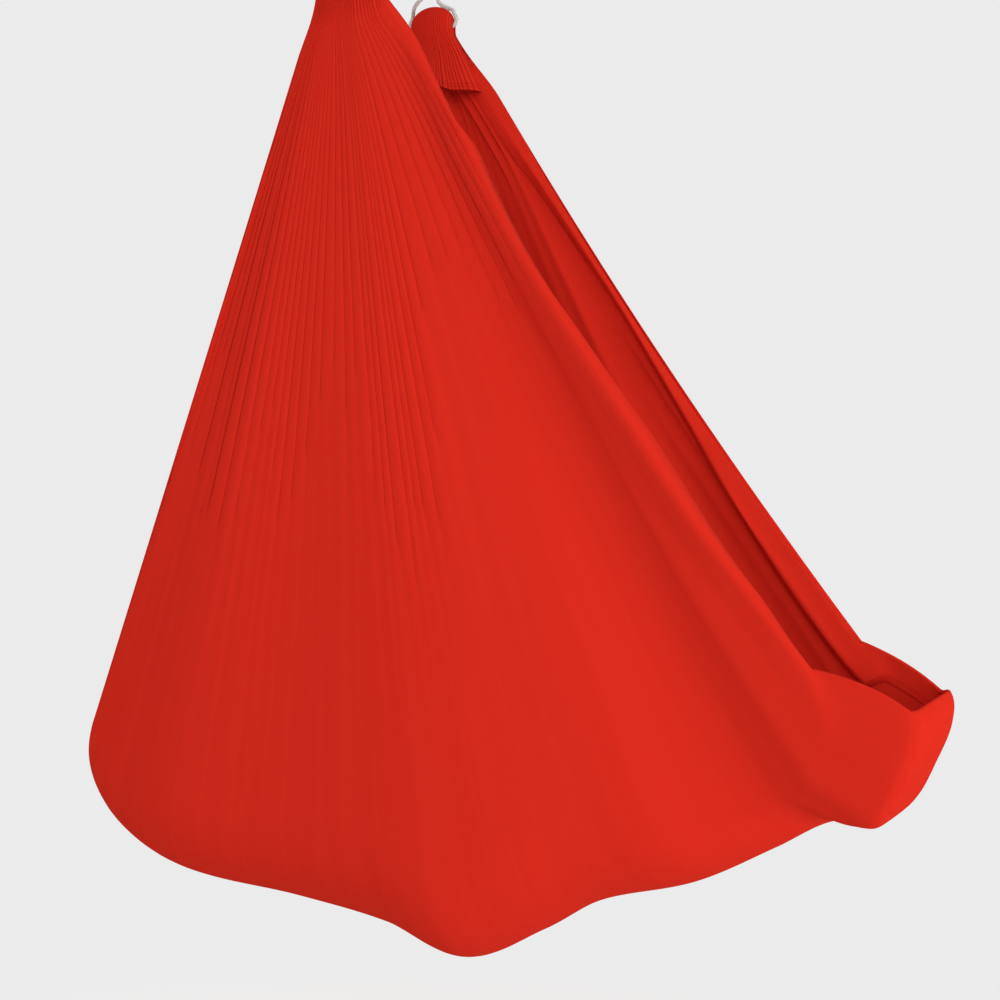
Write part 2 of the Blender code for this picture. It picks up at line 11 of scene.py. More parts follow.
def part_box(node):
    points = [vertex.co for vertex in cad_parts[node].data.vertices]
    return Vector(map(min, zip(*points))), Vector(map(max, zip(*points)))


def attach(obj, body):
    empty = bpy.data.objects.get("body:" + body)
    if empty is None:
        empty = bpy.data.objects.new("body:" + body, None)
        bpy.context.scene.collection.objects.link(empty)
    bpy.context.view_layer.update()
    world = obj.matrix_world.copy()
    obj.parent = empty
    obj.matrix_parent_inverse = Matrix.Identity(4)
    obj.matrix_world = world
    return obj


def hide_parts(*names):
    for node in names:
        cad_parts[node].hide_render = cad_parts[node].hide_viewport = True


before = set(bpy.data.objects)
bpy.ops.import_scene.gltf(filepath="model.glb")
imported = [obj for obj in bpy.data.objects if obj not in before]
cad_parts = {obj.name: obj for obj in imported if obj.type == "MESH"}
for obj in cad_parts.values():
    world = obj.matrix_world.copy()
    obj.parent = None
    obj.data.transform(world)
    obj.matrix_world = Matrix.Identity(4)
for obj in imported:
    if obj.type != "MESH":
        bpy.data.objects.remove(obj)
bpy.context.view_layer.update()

# The camera stands level in front of the cocoon's foot end and looks across it, as in the photograph.
CAMERA_PLACE = (1.180, -2.176, -1.546)
CAMERA_AZIMUTH = 22.0
CAMERA_LENS = 49.5
CAMERA_REACH = 60.0


def new_object(name, data):
    """A new object in the scene."""
    made = bpy.data.objects.new(name, data)
    bpy.context.scene.collection.objects.link(made)
    return made


camera_data = bpy.data.cameras.new("photo_camera")
camera_data.lens = CAMERA_LENS
camera_data.clip_end = CAMERA_REACH
camera = new_object("photo_camera", camera_data)
camera.location = CAMERA_PLACE
camera.rotation_euler = (math.radians(90.0), 0.0, math.radians(CAMERA_AZIMUTH))
bpy.context.scene.camera = camera
bpy.context.scene.view_settings.view_transform = "Standard"

# Each ceiling plate is zinc-plated flat bar with four countersunk screw holes. Its staple is bent from
# round bar, stands on the plate's underside and is welded on with a bead round each leg.
PLATE_SIZE = Vector((0.060, 0.116, 0.006))
PLATE_CORNER = 0.010
SCREW_EDGE = 0.011
SCREW_HOLE = 0.0085
SCREW_SINK = 0.0150
SCREW_START = 0.002
SCREW_RUN = 0.0045
SINK_RUN = 0.0036
PLATE_ARRIS = 0.0007
STAPLE_LEG = 0.027
STAPLE_BEND = 0.014
STAPLE_BOTTOM = -0.040
STAPLE_RADIUS = 0.005
STAPLE_ROOT = 0.003
WELD_RADIUS = 0.0021
WELD_OFFSET = 0.0006

plate_low, plate_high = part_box("back_ceiling_plate")
spacing = (plate_low.y + plate_high.y) / 2
SIDES = (("front", 0.0), ("back", spacing))


def set_mode(mode):
    """Goes into edit mode or back to object mode."""
    bpy.ops.object.mode_set(mode=mode)


def select_parts(kind, test):
    """In edit mode, selects the faces or the edges that pass the test, and nothing else."""
    bpy.ops.mesh.select_mode(type=kind)
    bpy.ops.mesh.select_all(action="DESELECT")
    shape = bmesh.from_edit_mesh(bpy.context.edit_object.data)
    for part in shape.faces if kind == "FACE" else shape.edges:
        part.select_set(test(part))
    bmesh.update_edit_mesh(bpy.context.edit_object.data)


def add_shape(primitive, **values):
    """A new primitive, with nothing else selected."""
    bpy.ops.object.select_all(action="DESELECT")
    primitive(**values)
    return bpy.context.object


def pick(*shapes):
    """Selects those shapes and nothing else, with the first one active."""
    bpy.ops.object.select_all(action="DESELECT")
    for shape in shapes:
        shape.select_set(True)
    bpy.context.view_layer.objects.active = shapes[0]


def smooth_by(shape, degrees):
    """Shades a shape smooth, apart from its edges that are sharper than an angle."""
    pick(shape)
    bpy.ops.object.shade_smooth_by_angle(angle=math.radians(degrees))


def along_z(height):
    """A bar's straight run along Z."""
    return "run", (0, 0, height)


def bent_bar(start, along, radius, sides, moves):
    """A round bar that starts at a place and follows straight runs, bends and steps in its radius."""
    turn = Vector(along).to_track_quat("Z", "Y").to_euler()
    bar = add_shape(bpy.ops.mesh.primitive_circle_add, vertices=sides, radius=radius, fill_type="NGON",
                    rotation=turn)
    bpy.ops.object.transform_apply()
    set_mode("EDIT")
    bpy.ops.transform.translate(value=start)
    bpy.ops.mesh.duplicate()
    for kind, value in moves:
        if kind == "run":
            bpy.ops.mesh.extrude_region_move(TRANSFORM_OT_translate={"value": value})
        elif kind == "step":
            shape = bmesh.from_edit_mesh(bar.data)
            ends = [vertex.co for vertex in shape.verts if vertex.select]
            middle = sum(ends, Vector()) / len(ends)
            bpy.ops.transform.resize(value=(value, value, value), center_override=middle)
        else:
            centre, axis, degrees = value
            steps = max(4, round(abs(degrees) / 9))
            bpy.ops.mesh.spin(steps=steps, dupli=False, angle=math.radians(degrees), center=centre, axis=axis)
    bpy.ops.mesh.select_all(action="SELECT")
    bpy.ops.mesh.remove_doubles(threshold=1e-6)
    bpy.ops.mesh.normals_make_consistent(inside=False)
    set_mode("OBJECT")
    smooth_by(bar, 40)
    return bar


def cut_with(shape, tool, operation):
    """Cuts a shape with a tool, or keeps what both share, and takes the tool away."""
    cut = shape.modifiers.new("cut", "BOOLEAN")
    cut.operation = operation
    cut.solver = "EXACT"
    cut.object = tool
    bpy.context.view_layer.objects.active = shape
    bpy.ops.object.modifier_apply(modifier=cut.name)
    bpy.data.objects.remove(tool)


def joined(*parts):
    """Several shapes as one."""
    pick(*parts)
    bpy.ops.object.join()
    bpy.ops.object.transform_apply()
    return parts[0]


def hang(master, name, offset, body, slot, paint, *nodes):
    """A copy of a finished shape at its own place, riding on its body where its CAD nodes are."""
    piece = new_object(name, master.data.copy())
    piece.data.transform(Matrix.Translation(offset))
    piece.data.materials.clear()
    piece.data.materials.append(paint)
    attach(piece, body)
    if nodes:
        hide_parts(*nodes)


def node(tree, kind, settings, inputs):
    """A shader node with its settings, and each input set to a value or linked to a socket."""
    made = tree.nodes.new("ShaderNode" + kind)
    for label, value in settings.items():
        setattr(made, label, value)
    for label, value in inputs.items():
        if isinstance(value, bpy.types.NodeSocket):
            tree.links.new(value, made.inputs[label])
        else:
            made.inputs[label].default_value = value
    return made


def maths(tree, operation, *values):
    """The result of a sum on values and sockets."""
    return node(tree, "Math", {"operation": operation}, dict(enumerate(values))).outputs[0]


def between(tree, mask, low, high):
    """A number or a colour that goes from one to the other with a mask."""
    if isinstance(low, float):
        return node(tree, "MapRange", {}, {"Value": mask, "To Min": low, "To Max": high}).outputs["Result"]
    low, high = ((*colour, 1) if isinstance(colour, tuple) else colour for colour in (low, high))
    return node(tree, "Mix", {"data_type": "RGBA"}, {0: mask, 6: low, 7: high}).outputs[2]


def new_group(name, inputs, outputs):
    """An empty shader group with those sockets, and its two ends."""
    group = bpy.data.node_groups.new(name, "ShaderNodeTree")
    for label in inputs:
        kind = "NodeSocketVector" if label == "Vector" else "NodeSocketFloat"
        group.interface.new_socket(label, in_out="INPUT", socket_type=kind)
    for label in outputs:
        group.interface.new_socket(label, in_out="OUTPUT", socket_type="NodeSocketFloat")
    return group, group.nodes.new("NodeGroupInput").outputs, group.nodes.new("NodeGroupOutput").inputs


def new_paint(name, colour, roughness, metallic, **others):
    """A material with its plain values set, its tree and its shader."""
    paint = bpy.data.materials.new(name)
    paint.use_nodes = True
    shader = paint.node_tree.nodes["Principled BSDF"]
    plain = {"Base Color": (*colour, 1), "Roughness": roughness, "Metallic": metallic}
    plain.update((label.replace("_", " "), value) for label, value in others.items())
    for label, value in plain.items():
        shader.inputs[label].default_value = value
    return paint, paint.node_tree, shader


def feed(shader, label, socket):
    """Links a socket to one of a shader's inputs."""
    shader.id_data.links.new(socket, shader.inputs[label])


def grain_on(tree, scale):
    """A piece's place, and the patches and the fine grain over it at a scale."""
    place = node(tree, "TexCoord", {}, {}).outputs["Object"]
    skin = node(tree, "Group", {"node_tree": grain}, {"Vector": place, "Scale": scale}).outputs
    return place, skin["Patches"], skin["Grain"]


def emboss(shader, height, strength, distance):
    """Gives a material fine relief from a height."""
    bump = node(shader.id_data, "Bump", {}, {"Height": height, "Strength": strength, "Distance": distance})
    feed(shader, "Normal", bump.outputs[0])


grain, given, sent = new_group("surface_grain", ("Vector", "Scale"), ("Patches", "Grain"))
patches = node(grain, "TexNoise", {}, {"Vector": given["Vector"], "Scale": given["Scale"], "Detail": 3.0})
finer = maths(grain, "MULTIPLY", given["Scale"], 9.0)
specks = node(grain, "TexNoise", {}, {"Vector": given["Vector"], "Scale": finer, "Detail": 2.0})
for noise, socket in ((patches, "Patches"), (specks, "Grain")):
    spread = node(grain, "MapRange", {}, {"Value": noise.outputs[0], "From Min": 0.3, "From Max": 0.7})
    grain.links.new(spread.outputs["Result"], sent[socket])

zinc, tree, shader = new_paint("zinc_plated_steel", (0.55, 0.56, 0.58), 0.35, 1.0)
place, patches, specks = grain_on(tree, 70.0)
drawn = node(tree, "Mapping", {}, {"Vector": place, "Scale": (1.0, 0.12, 1.0)})
lines = node(tree, "Group", {"node_tree": grain}, {"Vector": drawn.outputs[0], "Scale": 260.0})
feed(shader, "Base Color", between(tree, patches, (0.50, 0.51, 0.54), (0.60, 0.61, 0.62)))
feed(shader, "Roughness", maths(tree, "MULTIPLY_ADD", specks, 0.10, between(tree, patches, 0.28, 0.42)))
emboss(shader, lines.outputs["Grain"], 0.12, 0.0004)

plate = add_shape(bpy.ops.mesh.primitive_cube_add, size=1.0, location=(0, 0, -PLATE_SIZE.z / 2))
plate.scale = PLATE_SIZE
bpy.ops.object.transform_apply()
set_mode("EDIT")
select_parts("EDGE", lambda edge: abs(edge.verts[0].co.z - edge.verts[1].co.z) > 0.001)
bpy.ops.mesh.bevel(offset=PLATE_CORNER, segments=8, affect="EDGES")
select_parts("FACE", lambda face: abs(face.normal.z) > 0.9)
bpy.ops.mesh.bevel(offset=PLATE_ARRIS, segments=2, affect="EDGES")
set_mode("OBJECT")
for x in (-1, 1):
    for y in (-1, 1):
        place = (x * (PLATE_SIZE.x / 2 - SCREW_EDGE), y * (PLATE_SIZE.y / 2 - SCREW_EDGE), SCREW_START)
        moves = (along_z(-SCREW_RUN), along_z(-SINK_RUN), ("step", SCREW_SINK / SCREW_HOLE))
        cut_with(plate, bent_bar(place, (0, 0, -1), SCREW_HOLE / 2, 32, moves), "DIFFERENCE")
smooth_by(plate, 35)

bend_top = STAPLE_BOTTOM + STAPLE_BEND
inner_y = STAPLE_LEG - STAPLE_BEND
staple = bent_bar((0, STAPLE_LEG, -STAPLE_ROOT), (0, 0, -1), STAPLE_RADIUS, 20, (
    along_z(bend_top + STAPLE_ROOT),
    ("bend", ((0, inner_y, bend_top), (1, 0, 0), 90)),
    ("run", (0, -2 * inner_y, 0)),
    ("bend", ((0, -inner_y, bend_top), (1, 0, 0), 90)),
    along_z(-bend_top - STAPLE_ROOT),
))
welds = []
for y in (-STAPLE_LEG, STAPLE_LEG):
    weld = add_shape(bpy.ops.mesh.primitive_torus_add, major_segments=60, minor_segments=10,
                     major_radius=STAPLE_RADIUS + WELD_OFFSET, minor_radius=WELD_RADIUS,
                     location=(0, y, -PLATE_SIZE.z))
    for vertex in weld.data.vertices:
        turn = math.atan2(vertex.co.y, vertex.co.x)
        swell = 1 + 0.05 * math.sin(15 * turn) + 0.04 * math.sin(4 * turn + y * 90)
        vertex.co.x *= swell
        vertex.co.y *= swell
        vertex.co.z *= swell ** 2
    bpy.ops.object.shade_smooth()
    welds.append(weld)
plate = joined(plate, staple, *welds)

for side, y in SIDES:
    hang(plate, side + "_plate_and_staple", (0, y, 0), "ceiling_plates", "plate_steel", zinc,
         side + "_ceiling_plate")

# The four carabiners are screw-lock ovals bent from round steel bar and powder-coated black. The gate
# turns on a rivet through a flat tongue, and a knurled sleeve screws over the nose to lock it.
BAR_RADIUS = 0.0055
BOW = 0.0265
BOW_TOP = -0.0210
BOW_BOTTOM = -0.0810
ARM_TOP = -0.0790
HINGE = Vector((BOW, 0, -0.0740))
SHOULDER = -0.0225
NOSE_SHARE = 0.82
NOSE_RUN = 0.0078
NOSE_STEP = 0.0006
TONGUE_RADIUS = 0.0042
TONGUE_THICKNESS = 0.004
SLEEVE_BOTTOM = -0.0540
SLEEVE_RADIUS = 0.00675
KNURL_LOW = 0.0042
KNURL_HIGH = 0.0150
KNURL_ROWS = 6
SLEEVE_PROFILE = (
    (0.0048, 0.0000), (0.0061, 0.0000), (SLEEVE_RADIUS, 0.0007), (SLEEVE_RADIUS, 0.0026),
    (0.0063, 0.0030), (0.0063, 0.0038),
    *((SLEEVE_RADIUS, KNURL_LOW + (KNURL_HIGH - KNURL_LOW) * k / KNURL_ROWS) for k in range(KNURL_ROWS + 1)),
    (0.0063, 0.0154), (0.0063, 0.0162),
    (SLEEVE_RADIUS, 0.0166), (SLEEVE_RADIUS, 0.0193), (0.0061, 0.0200), (0.0048, 0.0200),
)
GATE_RADIUS = 0.0045
GATE_LENGTH = 0.0420
GATE_SLOT = 0.0046
GATE_SLOT_DEPTH = 0.0158
GATE_SLOT_TOP = 0.0047
GATE_BORE = 0.0056
GATE_BORE_START = 0.001
GATE_BORE_RUN = 0.0177
GATE_TIP = 0.0004
THREAD_START = 0.0150
THREAD_TURNS = 14
THREAD_PITCH = 0.0012
THREAD_DEPTH = 0.93
RIVET_HEAD = (
    (0.0015, 0.0048), (0.0023, 0.0048), (0.0023, 0.0049),
    (0.0019, 0.0052), (0.0012, 0.0054), (0.0000, 0.0054),
)
RIVET_PROFILE = (*((radius, -height) for radius, height in reversed(RIVET_HEAD)), *RIVET_HEAD)
RUB_REACH = 0.014
TIERS = (("upper", -0.0347, "upper_carabiners"), ("lower", -0.3861, "hammock"))

wear, given, sent = new_group("rubbed_bare", ("Vector", "Rub", "Scale"), ("Mask",))
breaks = node(wear, "TexNoise", {}, {"Vector": given["Vector"], "Scale": given["Scale"], "Detail": 4.0})
ragged = maths(wear, "MULTIPLY_ADD", breaks.outputs[0], 0.9, given["Rub"])
bare = node(wear, "MapRange", {}, {"Value": ragged, "From Min": 1.02, "From Max": 1.22})
wear.links.new(bare.outputs["Result"], sent["Mask"])


def coated_metal(name, colour, roughness, metallic, bare_colour):
    """A coated metal with fine grain, rubbed through to bare metal where its rub attribute says."""
    paint, tree, shader = new_paint(name, colour, roughness, metallic)
    place, patches, specks = grain_on(tree, 90.0)
    rub = node(tree, "Attribute", {"attribute_name": "rub"}, {}).outputs["Fac"]
    bare = node(tree, "Group", {"node_tree": wear}, {"Vector": place, "Rub": rub, "Scale": 260.0}).outputs[0]
    coat = between(tree, patches, colour, tuple(1.35 * part for part in colour))
    feed(shader, "Base Color", between(tree, bare, coat, bare_colour))
    feed(shader, "Metallic", between(tree, bare, metallic, 1.0))
    feed(shader, "Roughness", between(tree, specks, roughness - 0.05, roughness + 0.09))
    emboss(shader, specks, 0.10, 0.0003)
    return paint


black_coat = coated_metal("black_coated_steel", (0.038, 0.038, 0.042), 0.38, 0.0, (0.42, 0.42, 0.43))
sleeve_coat = coated_metal("knurled_sleeve_alloy", (0.12, 0.12, 0.13), 0.42, 0.9, (0.55, 0.55, 0.56))
wire_steel, tree, shader = new_paint("spring_steel", (0.50, 0.50, 0.50), 0.30, 1.0)
place, patches, specks = grain_on(tree, 300.0)
feed(shader, "Roughness", between(tree, patches, 0.24, 0.40))


def rub_by(shape, share_at):
    """Writes how far each point of a shape is rubbed, from 0 to 1, as its rub attribute."""
    rub = shape.data.attributes.new("rub", "FLOAT", "POINT")
    for vertex in shape.data.vertices:
        rub.data[vertex.index].value = max(0.0, min(1.0, share_at(vertex.co)))


frame_bar = bent_bar((BOW, 0, ARM_TOP), (0, 0, -1), BAR_RADIUS, 20, (
    along_z(BOW_BOTTOM - ARM_TOP),
    ("bend", ((0, 0, BOW_BOTTOM), (0, -1, 0), 180)),
    along_z(BOW_TOP - BOW_BOTTOM),
    ("bend", ((0, 0, BOW_TOP), (0, -1, 0), 180)),
    along_z(SHOULDER - BOW_TOP),
    along_z(-NOSE_STEP),
    ("step", NOSE_SHARE),
    along_z(-NOSE_RUN),
    along_z(-NOSE_STEP),
    ("step", NOSE_SHARE),
))
tongue = add_shape(bpy.ops.mesh.primitive_cylinder_add, vertices=28, radius=TONGUE_RADIUS,
                   depth=TONGUE_THICKNESS, location=HINGE, rotation=(math.radians(90), 0, 0))
bpy.ops.object.transform_apply()
set_mode("EDIT")
select_parts("FACE", lambda face: face.normal.z < -0.5)
bpy.ops.mesh.extrude_region_move(TRANSFORM_OT_translate={"value": (0, 0, ARM_TOP - HINGE.z + 0.001)})
select_parts("FACE", lambda face: abs(face.normal.y) > 0.9)
bpy.ops.mesh.bevel(offset=0.0004, segments=2, affect="EDGES")
set_mode("OBJECT")
smooth_by(tongue, 35)
carabiner = joined(frame_bar, tongue)


def bow_rub(co):
    """How far the oval's bar is rubbed, which is most inside the middle of each bow."""
    contact = Vector((0, 0, 0 if co.z > (BOW_TOP + BOW_BOTTOM) / 2 else BOW_BOTTOM - BOW + BAR_RADIUS))
    return 1.2 - (co - contact).length / RUB_REACH


rub_by(carabiner, bow_rub)


def turned(profile, sides, height):
    """A shape turned on a lathe about Z from a closed profile of radii and heights."""
    shape = add_shape(bpy.ops.mesh.primitive_plane_add, size=0.001)
    set_mode("EDIT")
    bpy.ops.mesh.select_mode(type="VERT")
    bpy.ops.mesh.merge(type="CENTER")
    bpy.ops.transform.translate(value=(profile[0][0], 0, profile[0][1] + height))
    for (r, z), (next_r, next_z) in zip(profile, profile[1:] + profile[:1]):
        bpy.ops.mesh.extrude_vertices_move(TRANSFORM_OT_translate={"value": (next_r - r, 0, next_z - z)})
    bpy.ops.mesh.select_all(action="SELECT")
    bpy.ops.mesh.spin(steps=sides, dupli=False, angle=math.radians(360), center=(0, 0, 0), axis=(0, 0, 1))
    bpy.ops.mesh.select_all(action="SELECT")
    bpy.ops.mesh.remove_doubles(threshold=1e-5)
    bpy.ops.mesh.delete_loose()
    bpy.ops.mesh.select_all(action="SELECT")
    bpy.ops.mesh.normals_make_consistent(inside=False)
    set_mode("OBJECT")
    return shape


gate_moves = [along_z(GATE_RADIUS + THREAD_START)]
for k in range(THREAD_TURNS):
    gate_moves += [along_z(THREAD_PITCH / 2), ("step", THREAD_DEPTH)]
    gate_moves += [along_z(THREAD_PITCH / 2), ("step", 1 / THREAD_DEPTH)]
gate_moves += [along_z(GATE_LENGTH - THREAD_START - THREAD_TURNS * THREAD_PITCH - GATE_TIP)]
gate_moves += [along_z(GATE_TIP), ("step", 0.92)]
gate = bent_bar((0, 0, -GATE_RADIUS), (0, 0, 1), GATE_RADIUS, 24, gate_moves)
heel = bent_bar((0, GATE_RADIUS * 2, 0), (0, -1, 0), GATE_RADIUS, 40, (("run", (0, -4 * GATE_RADIUS, 0)),))
set_mode("EDIT")
select_parts("FACE", lambda face: face.normal.z > 0.1)
bpy.ops.mesh.extrude_region_move(TRANSFORM_OT_translate={"value": (0, 0, 2 * GATE_LENGTH)})
set_mode("OBJECT")
cut_with(gate, heel, "INTERSECT")
slot = add_shape(bpy.ops.mesh.primitive_cube_add, size=1.0,
                 location=(0, 0, GATE_SLOT_TOP - GATE_SLOT_DEPTH / 2))
slot.scale = (0.02, GATE_SLOT, GATE_SLOT_DEPTH)
bpy.ops.object.transform_apply()
cut_with(gate, slot, "DIFFERENCE")
bore = bent_bar((0, 0, GATE_BORE_START), (0, 0, 1), GATE_BORE / 2, 20, (along_z(GATE_BORE_RUN),))
cut_with(gate, bore, "DIFFERENCE")
gate.data.transform(Matrix.Translation(HINGE))
smooth_by(gate, 30)
rub_by(gate, lambda co: 0.30 if co.z - HINGE.z > THREAD_START else 0.0)

rivet = turned(RIVET_PROFILE, 24, 0.0)
smooth_by(rivet, 35)
rivet.data.transform(Matrix.Translation(HINGE) @ Matrix.Rotation(math.radians(90), 4, "X"))


def knurled(face):
    """Whether a face of the sleeve lies on its knurled band."""
    middle = face.calc_center_median()
    outside = abs(face.normal.z) < 0.2 and math.hypot(middle.x, middle.y) > 0.0064
    return outside and KNURL_LOW < middle.z - SLEEVE_BOTTOM < KNURL_HIGH


sleeve = turned(SLEEVE_PROFILE, 32, SLEEVE_BOTTOM)
set_mode("EDIT")
select_parts("FACE", knurled)
bpy.ops.mesh.inset(thickness=0.00020, depth=-0.00035, use_individual=True)
set_mode("OBJECT")
smooth_by(sleeve, 30)
rub_by(sleeve, lambda co: 0.42 if math.hypot(co.x, co.y) > SLEEVE_RADIUS - 0.00005 else 0.0)
sleeve.data.transform(Matrix.Translation((BOW, 0, 0)))

for side, y in SIDES:
    for tier, top, body in TIERS:
        name = side + "_" + tier
        at = (0, y, top)
        hang(carabiner, name + "_oval", at, body, "carabiner_steel", black_coat, name + "_carabiner_frame")
        hang(rivet, name + "_rivet", at, body, "plate_steel", zinc, name + "_carabiner_rivet")
        hang(gate, name + "_screw_gate", at, name + "_gate", "carabiner_steel", black_coat,
             name + "_carabiner_gate")
        hang(sleeve, name + "_knurled_sleeve", at, name + "_sleeve", "sleeve_alloy", sleeve_coat,
             name + "_carabiner_sleeve")
        for material_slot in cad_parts[name + "_carabiner_spring"].material_slots:
            material_slot.material = wire_steel

# Each strap is one strip of black polyester webbing, folded back into a loop at both ends and closed
# with two rows of bar tacks through both plies. Its loops are cupped where they sit in the bows.
STRAP_WIDTH = 0.022
STRAP_THICKNESS = 0.0025
STRAP_LENGTH = 0.250
STRAP_TOP = -0.1364
STRAP_PLY = 0.0014
STRAP_LOOP = 0.00925
LOOP_CENTRE = -0.008
LOOP_TAPER = 0.024
FOLD_BACK = 0.068
CUP_BEND = 0.019
TACK_DROPS = (0.042, 0.058)
TACK_WIDTH = 0.016
TACK_HEIGHT = 0.0042
TACK_STEPS = 26
THREAD_RADIUS = 0.00045

weave, given, sent = new_group("woven_ribs", ("Vector", "Across", "Along"), ("Height",))
parts = node(weave, "SeparateXYZ", {}, {0: given["Vector"]})
rib = maths(weave, "PINGPONG", maths(weave, "DIVIDE", parts.outputs["X"], given["Across"]), 0.5)
course = maths(weave, "DIVIDE", parts.outputs["Y"], given["Along"])
stitch = maths(weave, "PINGPONG", maths(weave, "ADD", course, rib), 0.5)
weave.links.new(maths(weave, "ADD", rib, stitch), sent["Height"])


def woven_on(tree, uv_map, across, along):
    """A piece's flat place, and the height of its weave there."""
    flat_place = node(tree, "UVMap", {"uv_map": uv_map}, {}).outputs[0]
    ribs = node(tree, "Group", {"node_tree": weave}, {"Vector": flat_place, "Across": across, "Along": along})
    return flat_place, ribs.outputs["Height"]


webbing, tree, shader = new_paint("black_webbing", (0.03, 0.03, 0.032), 0.72, 0.0, Sheen_Weight=0.25)
flat_place, ribs = woven_on(tree, "weave", 0.0018, 0.0022)
place, patches, specks = grain_on(tree, 120.0)
# Painted shade: the webbing's colour is darker in the hollows of its weave and lighter on its ribs.
feed(shader, "Base Color", between(tree, ribs, (0.014, 0.014, 0.015), (0.040, 0.040, 0.042)))
feed(shader, "Roughness", between(tree, patches, 0.62, 0.80))
emboss(shader, ribs, 0.7, 0.0005)

tack_thread, tree, shader = new_paint("tack_thread", (0.07, 0.07, 0.075), 0.45, 0.0)
place, patches, specks = grain_on(tree, 900.0)
feed(shader, "Base Color", between(tree, patches, (0.05, 0.05, 0.055), (0.10, 0.10, 0.105)))


def eased(low, high, value):
    """0 below low, 1 above high, and a smooth step between them."""
    f = np.clip((value - low) / (high - low), 0.0, 1.0)
    return f * f * (3 - 2 * f)


def strap_line():
    """The strap's middle line as depth and height, from one folded end round both loops to the other."""
    tail = [(STRAP_PLY, LOOP_CENTRE - LOOP_TAPER - (FOLD_BACK - LOOP_TAPER) * (1 - k / 14))
            for k in range(14)]
    open_up = [(STRAP_PLY + (STRAP_LOOP - STRAP_PLY) * eased(0, 10, k),
                LOOP_CENTRE - LOOP_TAPER * (1 - k / 10)) for k in range(10)]
    bow = [(STRAP_LOOP * math.cos(math.pi * k / 16), LOOP_CENTRE + STRAP_LOOP * math.sin(math.pi * k / 16))
           for k in range(17)]
    upper = tail + open_up + bow + [(-depth, z) for depth, z in reversed(open_up)]
    low_z = upper[-1][1]
    long_run = [(-STRAP_PLY, low_z + (-STRAP_LENGTH - 2 * low_z) * k / 30) for k in range(1, 30)]
    return upper + long_run + [(depth, -STRAP_LENGTH - z) for depth, z in reversed(upper)]


def mesh_piece(name, points, faces):
    """A new object from its points and faces, shaded smooth, with its faces turned outwards."""
    mesh = bpy.data.meshes.new(name)
    mesh.from_pydata([tuple(point) for point in points], [], faces)
    shape = bmesh.new()
    shape.from_mesh(mesh)
    bmesh.ops.recalc_face_normals(shape, faces=shape.faces)
    shape.to_mesh(mesh)
    shape.free()
    mesh.shade_smooth()
    return new_object(name, mesh)


def ring_faces(rings, sides, closed):
    """The faces of a tube through equal rings, capped at both ends or joined up."""
    faces = []
    for i in range(rings if closed else rings - 1):
        low, high = i * sides, (i + 1) % rings * sides
        faces += [(low + j, low + (j + 1) % sides, high + (j + 1) % sides, high + j) for j in range(sides)]
    if not closed:
        faces += [tuple(range(sides)), tuple(range((rings - 1) * sides, rings * sides))]
    return faces


def add_tube(points, faces, path, radius, sides):
    """Adds a capped round thread along a path to a list of points and faces."""
    first = len(points)
    path = [Vector(point) for point in path]
    for i, place in enumerate(path):
        along = (path[min(i + 1, len(path) - 1)] - path[max(i - 1, 0)]).normalized()
        side = along.cross(Vector((0, 1, 0)))
        if side.length < 0.01:
            side = along.cross(Vector((1, 0, 0)))
        side.normalize()
        up = side.cross(along)
        for j in range(sides):
            turn = 2 * math.pi * j / sides
            points.append(place + radius * (math.cos(turn) * side + math.sin(turn) * up))
    faces += [tuple(first + index for index in face) for face in ring_faces(len(path), sides, False)]


def lay_flat(piece, name, places):
    """Writes each point's flat place into a piece's UV map of that name."""
    layer = piece.data.uv_layers.new(name=name)
    for loop in piece.data.loops:
        layer.data[loop.index].uv = places[loop.vertex_index]


strap_profile = strap_line()
section = [(STRAP_WIDTH / 2 * mark, STRAP_THICKNESS / 2 * (1 - 0.55 * abs(mark) ** 12))
           for mark in np.linspace(-1, 1, 13)]
section = section + [(x, -half) for x, half in reversed(section)]
points = []
strap_uv = []
run = 0.0
reach = LOOP_TAPER - LOOP_CENTRE
for i, (depth, z) in enumerate(strap_profile):
    before = strap_profile[max(i - 1, 0)]
    after = strap_profile[min(i + 1, len(strap_profile) - 1)]
    along = Vector((0, after[0] - before[0], after[1] - before[1])).normalized()
    outward = along.cross(Vector((1, 0, 0)))
    if i:
        run += math.hypot(depth - before[0], z - before[1])
    top_share = min(1.0, max(0.0, 1 + z / reach))
    low_share = min(1.0, max(0.0, 1 - (z + STRAP_LENGTH) / reach))
    for x, half in section:
        cup = (CUP_BEND - math.sqrt(CUP_BEND ** 2 - x * x)) * (top_share - low_share)
        points.append(Vector((x, depth, z + cup + STRAP_TOP)) + outward * half)
        strap_uv.append((x, run))
strap = mesh_piece("strap_master", points, ring_faces(len(strap_profile), len(section), False))
lay_flat(strap, "weave", strap_uv)

points, faces = [], []
for drop in TACK_DROPS:
    for z in (STRAP_TOP + LOOP_CENTRE - drop, STRAP_TOP - STRAP_LENGTH - LOOP_CENTRE + drop):
        for face_side in (-1, 1):
            y = face_side * (STRAP_PLY + STRAP_THICKNESS / 2 + THREAD_RADIUS * 0.4)
            path = [((k / TACK_STEPS - 0.5) * TACK_WIDTH, y, z + (k % 2 - 0.5) * TACK_HEIGHT)
                    for k in range(TACK_STEPS + 1)]
            add_tube(points, faces, path, THREAD_RADIUS, 6)
tacks = mesh_piece("tacks_master", points, faces)

for side, y in SIDES:
    hang(strap, side + "_sewn_webbing", (0, y, 0), side + "_strap", "webbing", webbing,
         side + "_webbing_strap")
    hang(tacks, side + "_bar_tacks", (0, y, 0), side + "_strap", "webbing", tack_thread)

